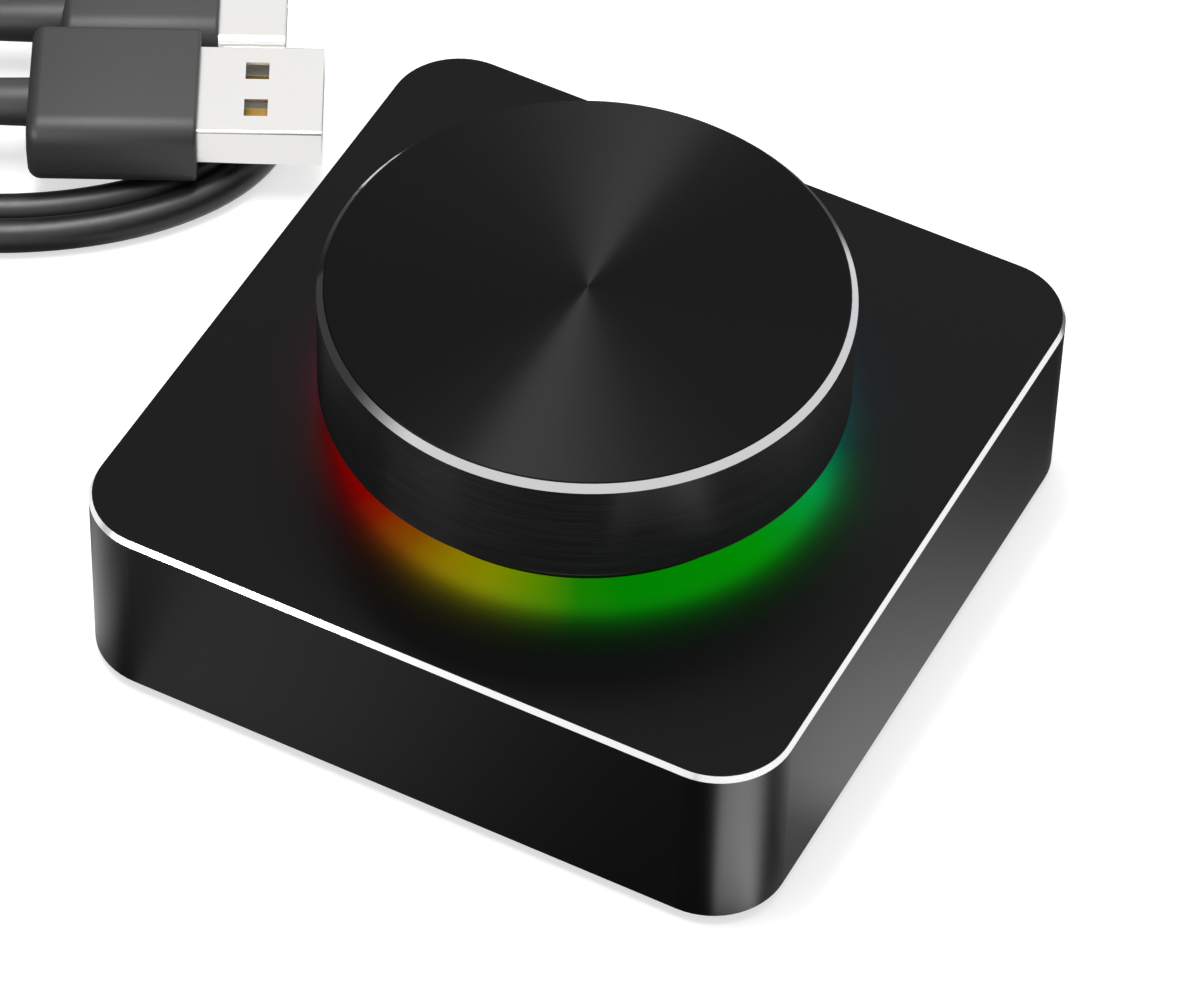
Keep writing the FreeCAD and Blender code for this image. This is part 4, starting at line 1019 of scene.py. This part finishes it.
deselect()
bpy.ops.mesh.primitive_plane_add(size=6, location=(0, 0, 0))
floor = bpy.context.active_object
floor.name = "floor"
floor_paint = bpy.data.materials.new("white_paper_sweep")
floor_paint.use_nodes = True
tree = floor_paint.node_tree
tree.nodes.clear()
place = add_node(tree, "TexCoord").outputs["Object"]
in_mm = add_node(tree, "VectorMath", {"operation": "SCALE", "Scale": 1 / MM}, {0: place})
parts = add_node(tree, "SeparateXYZ", links={0: in_mm}).outputs

light = add_node(tree, "Value")
light.outputs[0].default_value = 1.0
dark = [(parts, steps) for steps in DARK_CARDS]
dark.append((spread_from(tree, in_mm, LEFT_CORNER), DARK_FAN))
for measures, steps in dark:
    patch = card(tree, measures, *steps)
    left = add_node(tree, "Math", {"operation": "SUBTRACT", 0: 1.0}, {1: patch})
    light = add_node(tree, "Math", {"operation": "MULTIPLY"}, {0: light, 1: left})
bright = [(parts, steps) for steps in BRIGHT_CARDS]
bright.append((spread_from(tree, in_mm, FRONT_CORNER), BRIGHT_FAN))
for measures, steps in bright:
    patch = card(tree, measures, *steps)
    light = add_node(tree, "Math", {"operation": "ADD"}, {0: light, 1: patch})

paths = add_node(tree, "LightPath").outputs
seen = add_node(tree, "Math", {"operation": "MAXIMUM"},
                {0: paths["Is Camera Ray"], 1: paths["Is Transmission Ray"]})
share = add_node(tree, "Math", {"operation": "MULTIPLY", 1: PAPER_LIFT}, {0: seen})
paper = add_node(tree, "BsdfDiffuse", {"Color": linear("#C4C4C4")})
lift = add_node(tree, "Emission", {"Color": WHITE}, {"Strength": share})
both = add_node(tree, "AddShader", links={0: paper, 1: lift})
mirrored = add_node(tree, "Emission", {"Color": WHITE}, {"Strength": light})
whole = add_node(tree, "MixShader", links={0: paths["Is Glossy Ray"], 1: both, 2: mirrored})
add_node(tree, "OutputMaterial", links={"Surface": whole})
dress(floor_paint, floor)
print("floor laid,", len(tree.nodes), "nodes")

# %% [markdown]
# ## Background
# The world is white for the camera and for reflections, where a strength of 1 is white. As a light
# it is weaker, so that the lamps still shape the object. The Light Path node tells the uses apart.

# %% Set the world
WORLD_LIGHT, WORLD_WHITE = 0.55, 1.0

world = bpy.data.worlds.new("studio")
bpy.context.scene.world = world
world.use_nodes = True
tree = world.node_tree
tree.nodes.clear()
paths = add_node(tree, "LightPath").outputs
seen = add_node(tree, "Math", {"operation": "MAXIMUM"},
                {0: paths["Is Camera Ray"], 1: paths["Is Glossy Ray"]})
seen = add_node(tree, "Math", {"operation": "MAXIMUM"}, {0: seen, 1: paths["Is Transmission Ray"]})
level = add_node(tree, "MapRange", {3: WORLD_LIGHT, 4: WORLD_WHITE}, {0: seen})
sky = add_node(tree, "Background", {"Color": WHITE}, {"Strength": level})
add_node(tree, "OutputWorld", links={"Surface": sky})
bpy.context.scene.view_settings.view_transform = "Standard"
print("white background, and", WORLD_LIGHT, "as a light")

# %% [markdown]
# ## Lamps
# A long soft box hangs over the object, to the left. Its reflection in the circular grooves is the
# pair of fans on the knob: its left edge ends them sharply, and a weaker box on its right lets them
# fade. A small box low at the front left is seen only in reflections and gives the knob's side its
# sheen.

# %% Hang the lamps
def soft_box(name, place, aim, size, power):
    """A rectangular lamp of a power in watts; place, aim and size are in mm."""
    data = bpy.data.lights.new(name, "AREA")
    data.shape = "RECTANGLE"
    data.size, data.size_y = (s * MM for s in size)
    data.energy = power
    lamp = bpy.data.objects.new(name, data)
    bpy.context.scene.collection.objects.link(lamp)
    lamp.location = Vector(place) * MM
    lamp.rotation_mode = "QUATERNION"
    lamp.rotation_quaternion = (Vector(aim) * MM - lamp.location).to_track_quat("-Z", "Y")
    lamp.visible_camera = False
    print(name, power, "W")
    return lamp


soft_box("overhead_box", (-112, 20, 600), (-112, 20, 0), (140, 430), 3.2)
soft_box("overhead_fade", (35, 20, 600), (35, 20, 0), (180, 430), 0.8)
front_left = soft_box("front_left_box", (-103, -171, 55), (0, -24, 30), (100, 55), 0.2)
front_left.visible_diffuse = False

# %% [markdown]
# ## Flag
# A dark screen beside a set is called a flag. One stands to the left, leaning in under the soft
# box: it keeps the grooves beside the fans dark and turns the left of the bright bevel grey. It is
# a net that thins out towards the front, which a mix with a transparent shader does, so the bevel
# brightens gradually. Only reflections see it.

# %% Stand the flag
FLAG_PLACE, FLAG_SIZE, FLAG_LEAN = (-0.258, -0.05, 0.283), (0.57, 0.5, 1), math.radians(81.4)
NET_START, NET_FULL = -0.5, -0.08       # along the flag, from -0.5 at the front to 0.5
NET_LEVEL = 0.07

deselect()
bpy.ops.mesh.primitive_plane_add(size=1, location=FLAG_PLACE, rotation=(0, FLAG_LEAN, 0))
flag = bpy.context.active_object
flag.name = "dark_flag"
flag.scale = FLAG_SIZE
flag_cloth = bpy.data.materials.new("black_net_flag")
flag_cloth.use_nodes = True
tree = flag_cloth.node_tree
tree.nodes.clear()
place = add_node(tree, "TexCoord").outputs["Object"]
place = add_node(tree, "SeparateXYZ", links={0: place})
dense = add_node(tree, "MapRange", {
    "interpolation_type": "SMOOTHSTEP", 1: NET_START, 2: NET_FULL}, {0: place.outputs[1]})
clear = add_node(tree, "BsdfTransparent")
cloth = add_node(tree, "Emission", {"Color": WHITE, "Strength": NET_LEVEL})
net = add_node(tree, "MixShader", links={0: dense, 1: clear, 2: cloth})
add_node(tree, "OutputMaterial", links={"Surface": net})
dress(flag_cloth, flag)
for kind in ("camera", "diffuse", "shadow"):
    setattr(flag, "visible_" + kind, False)
print("flag stands", round(-flag.location.x / MM), "mm to the left")
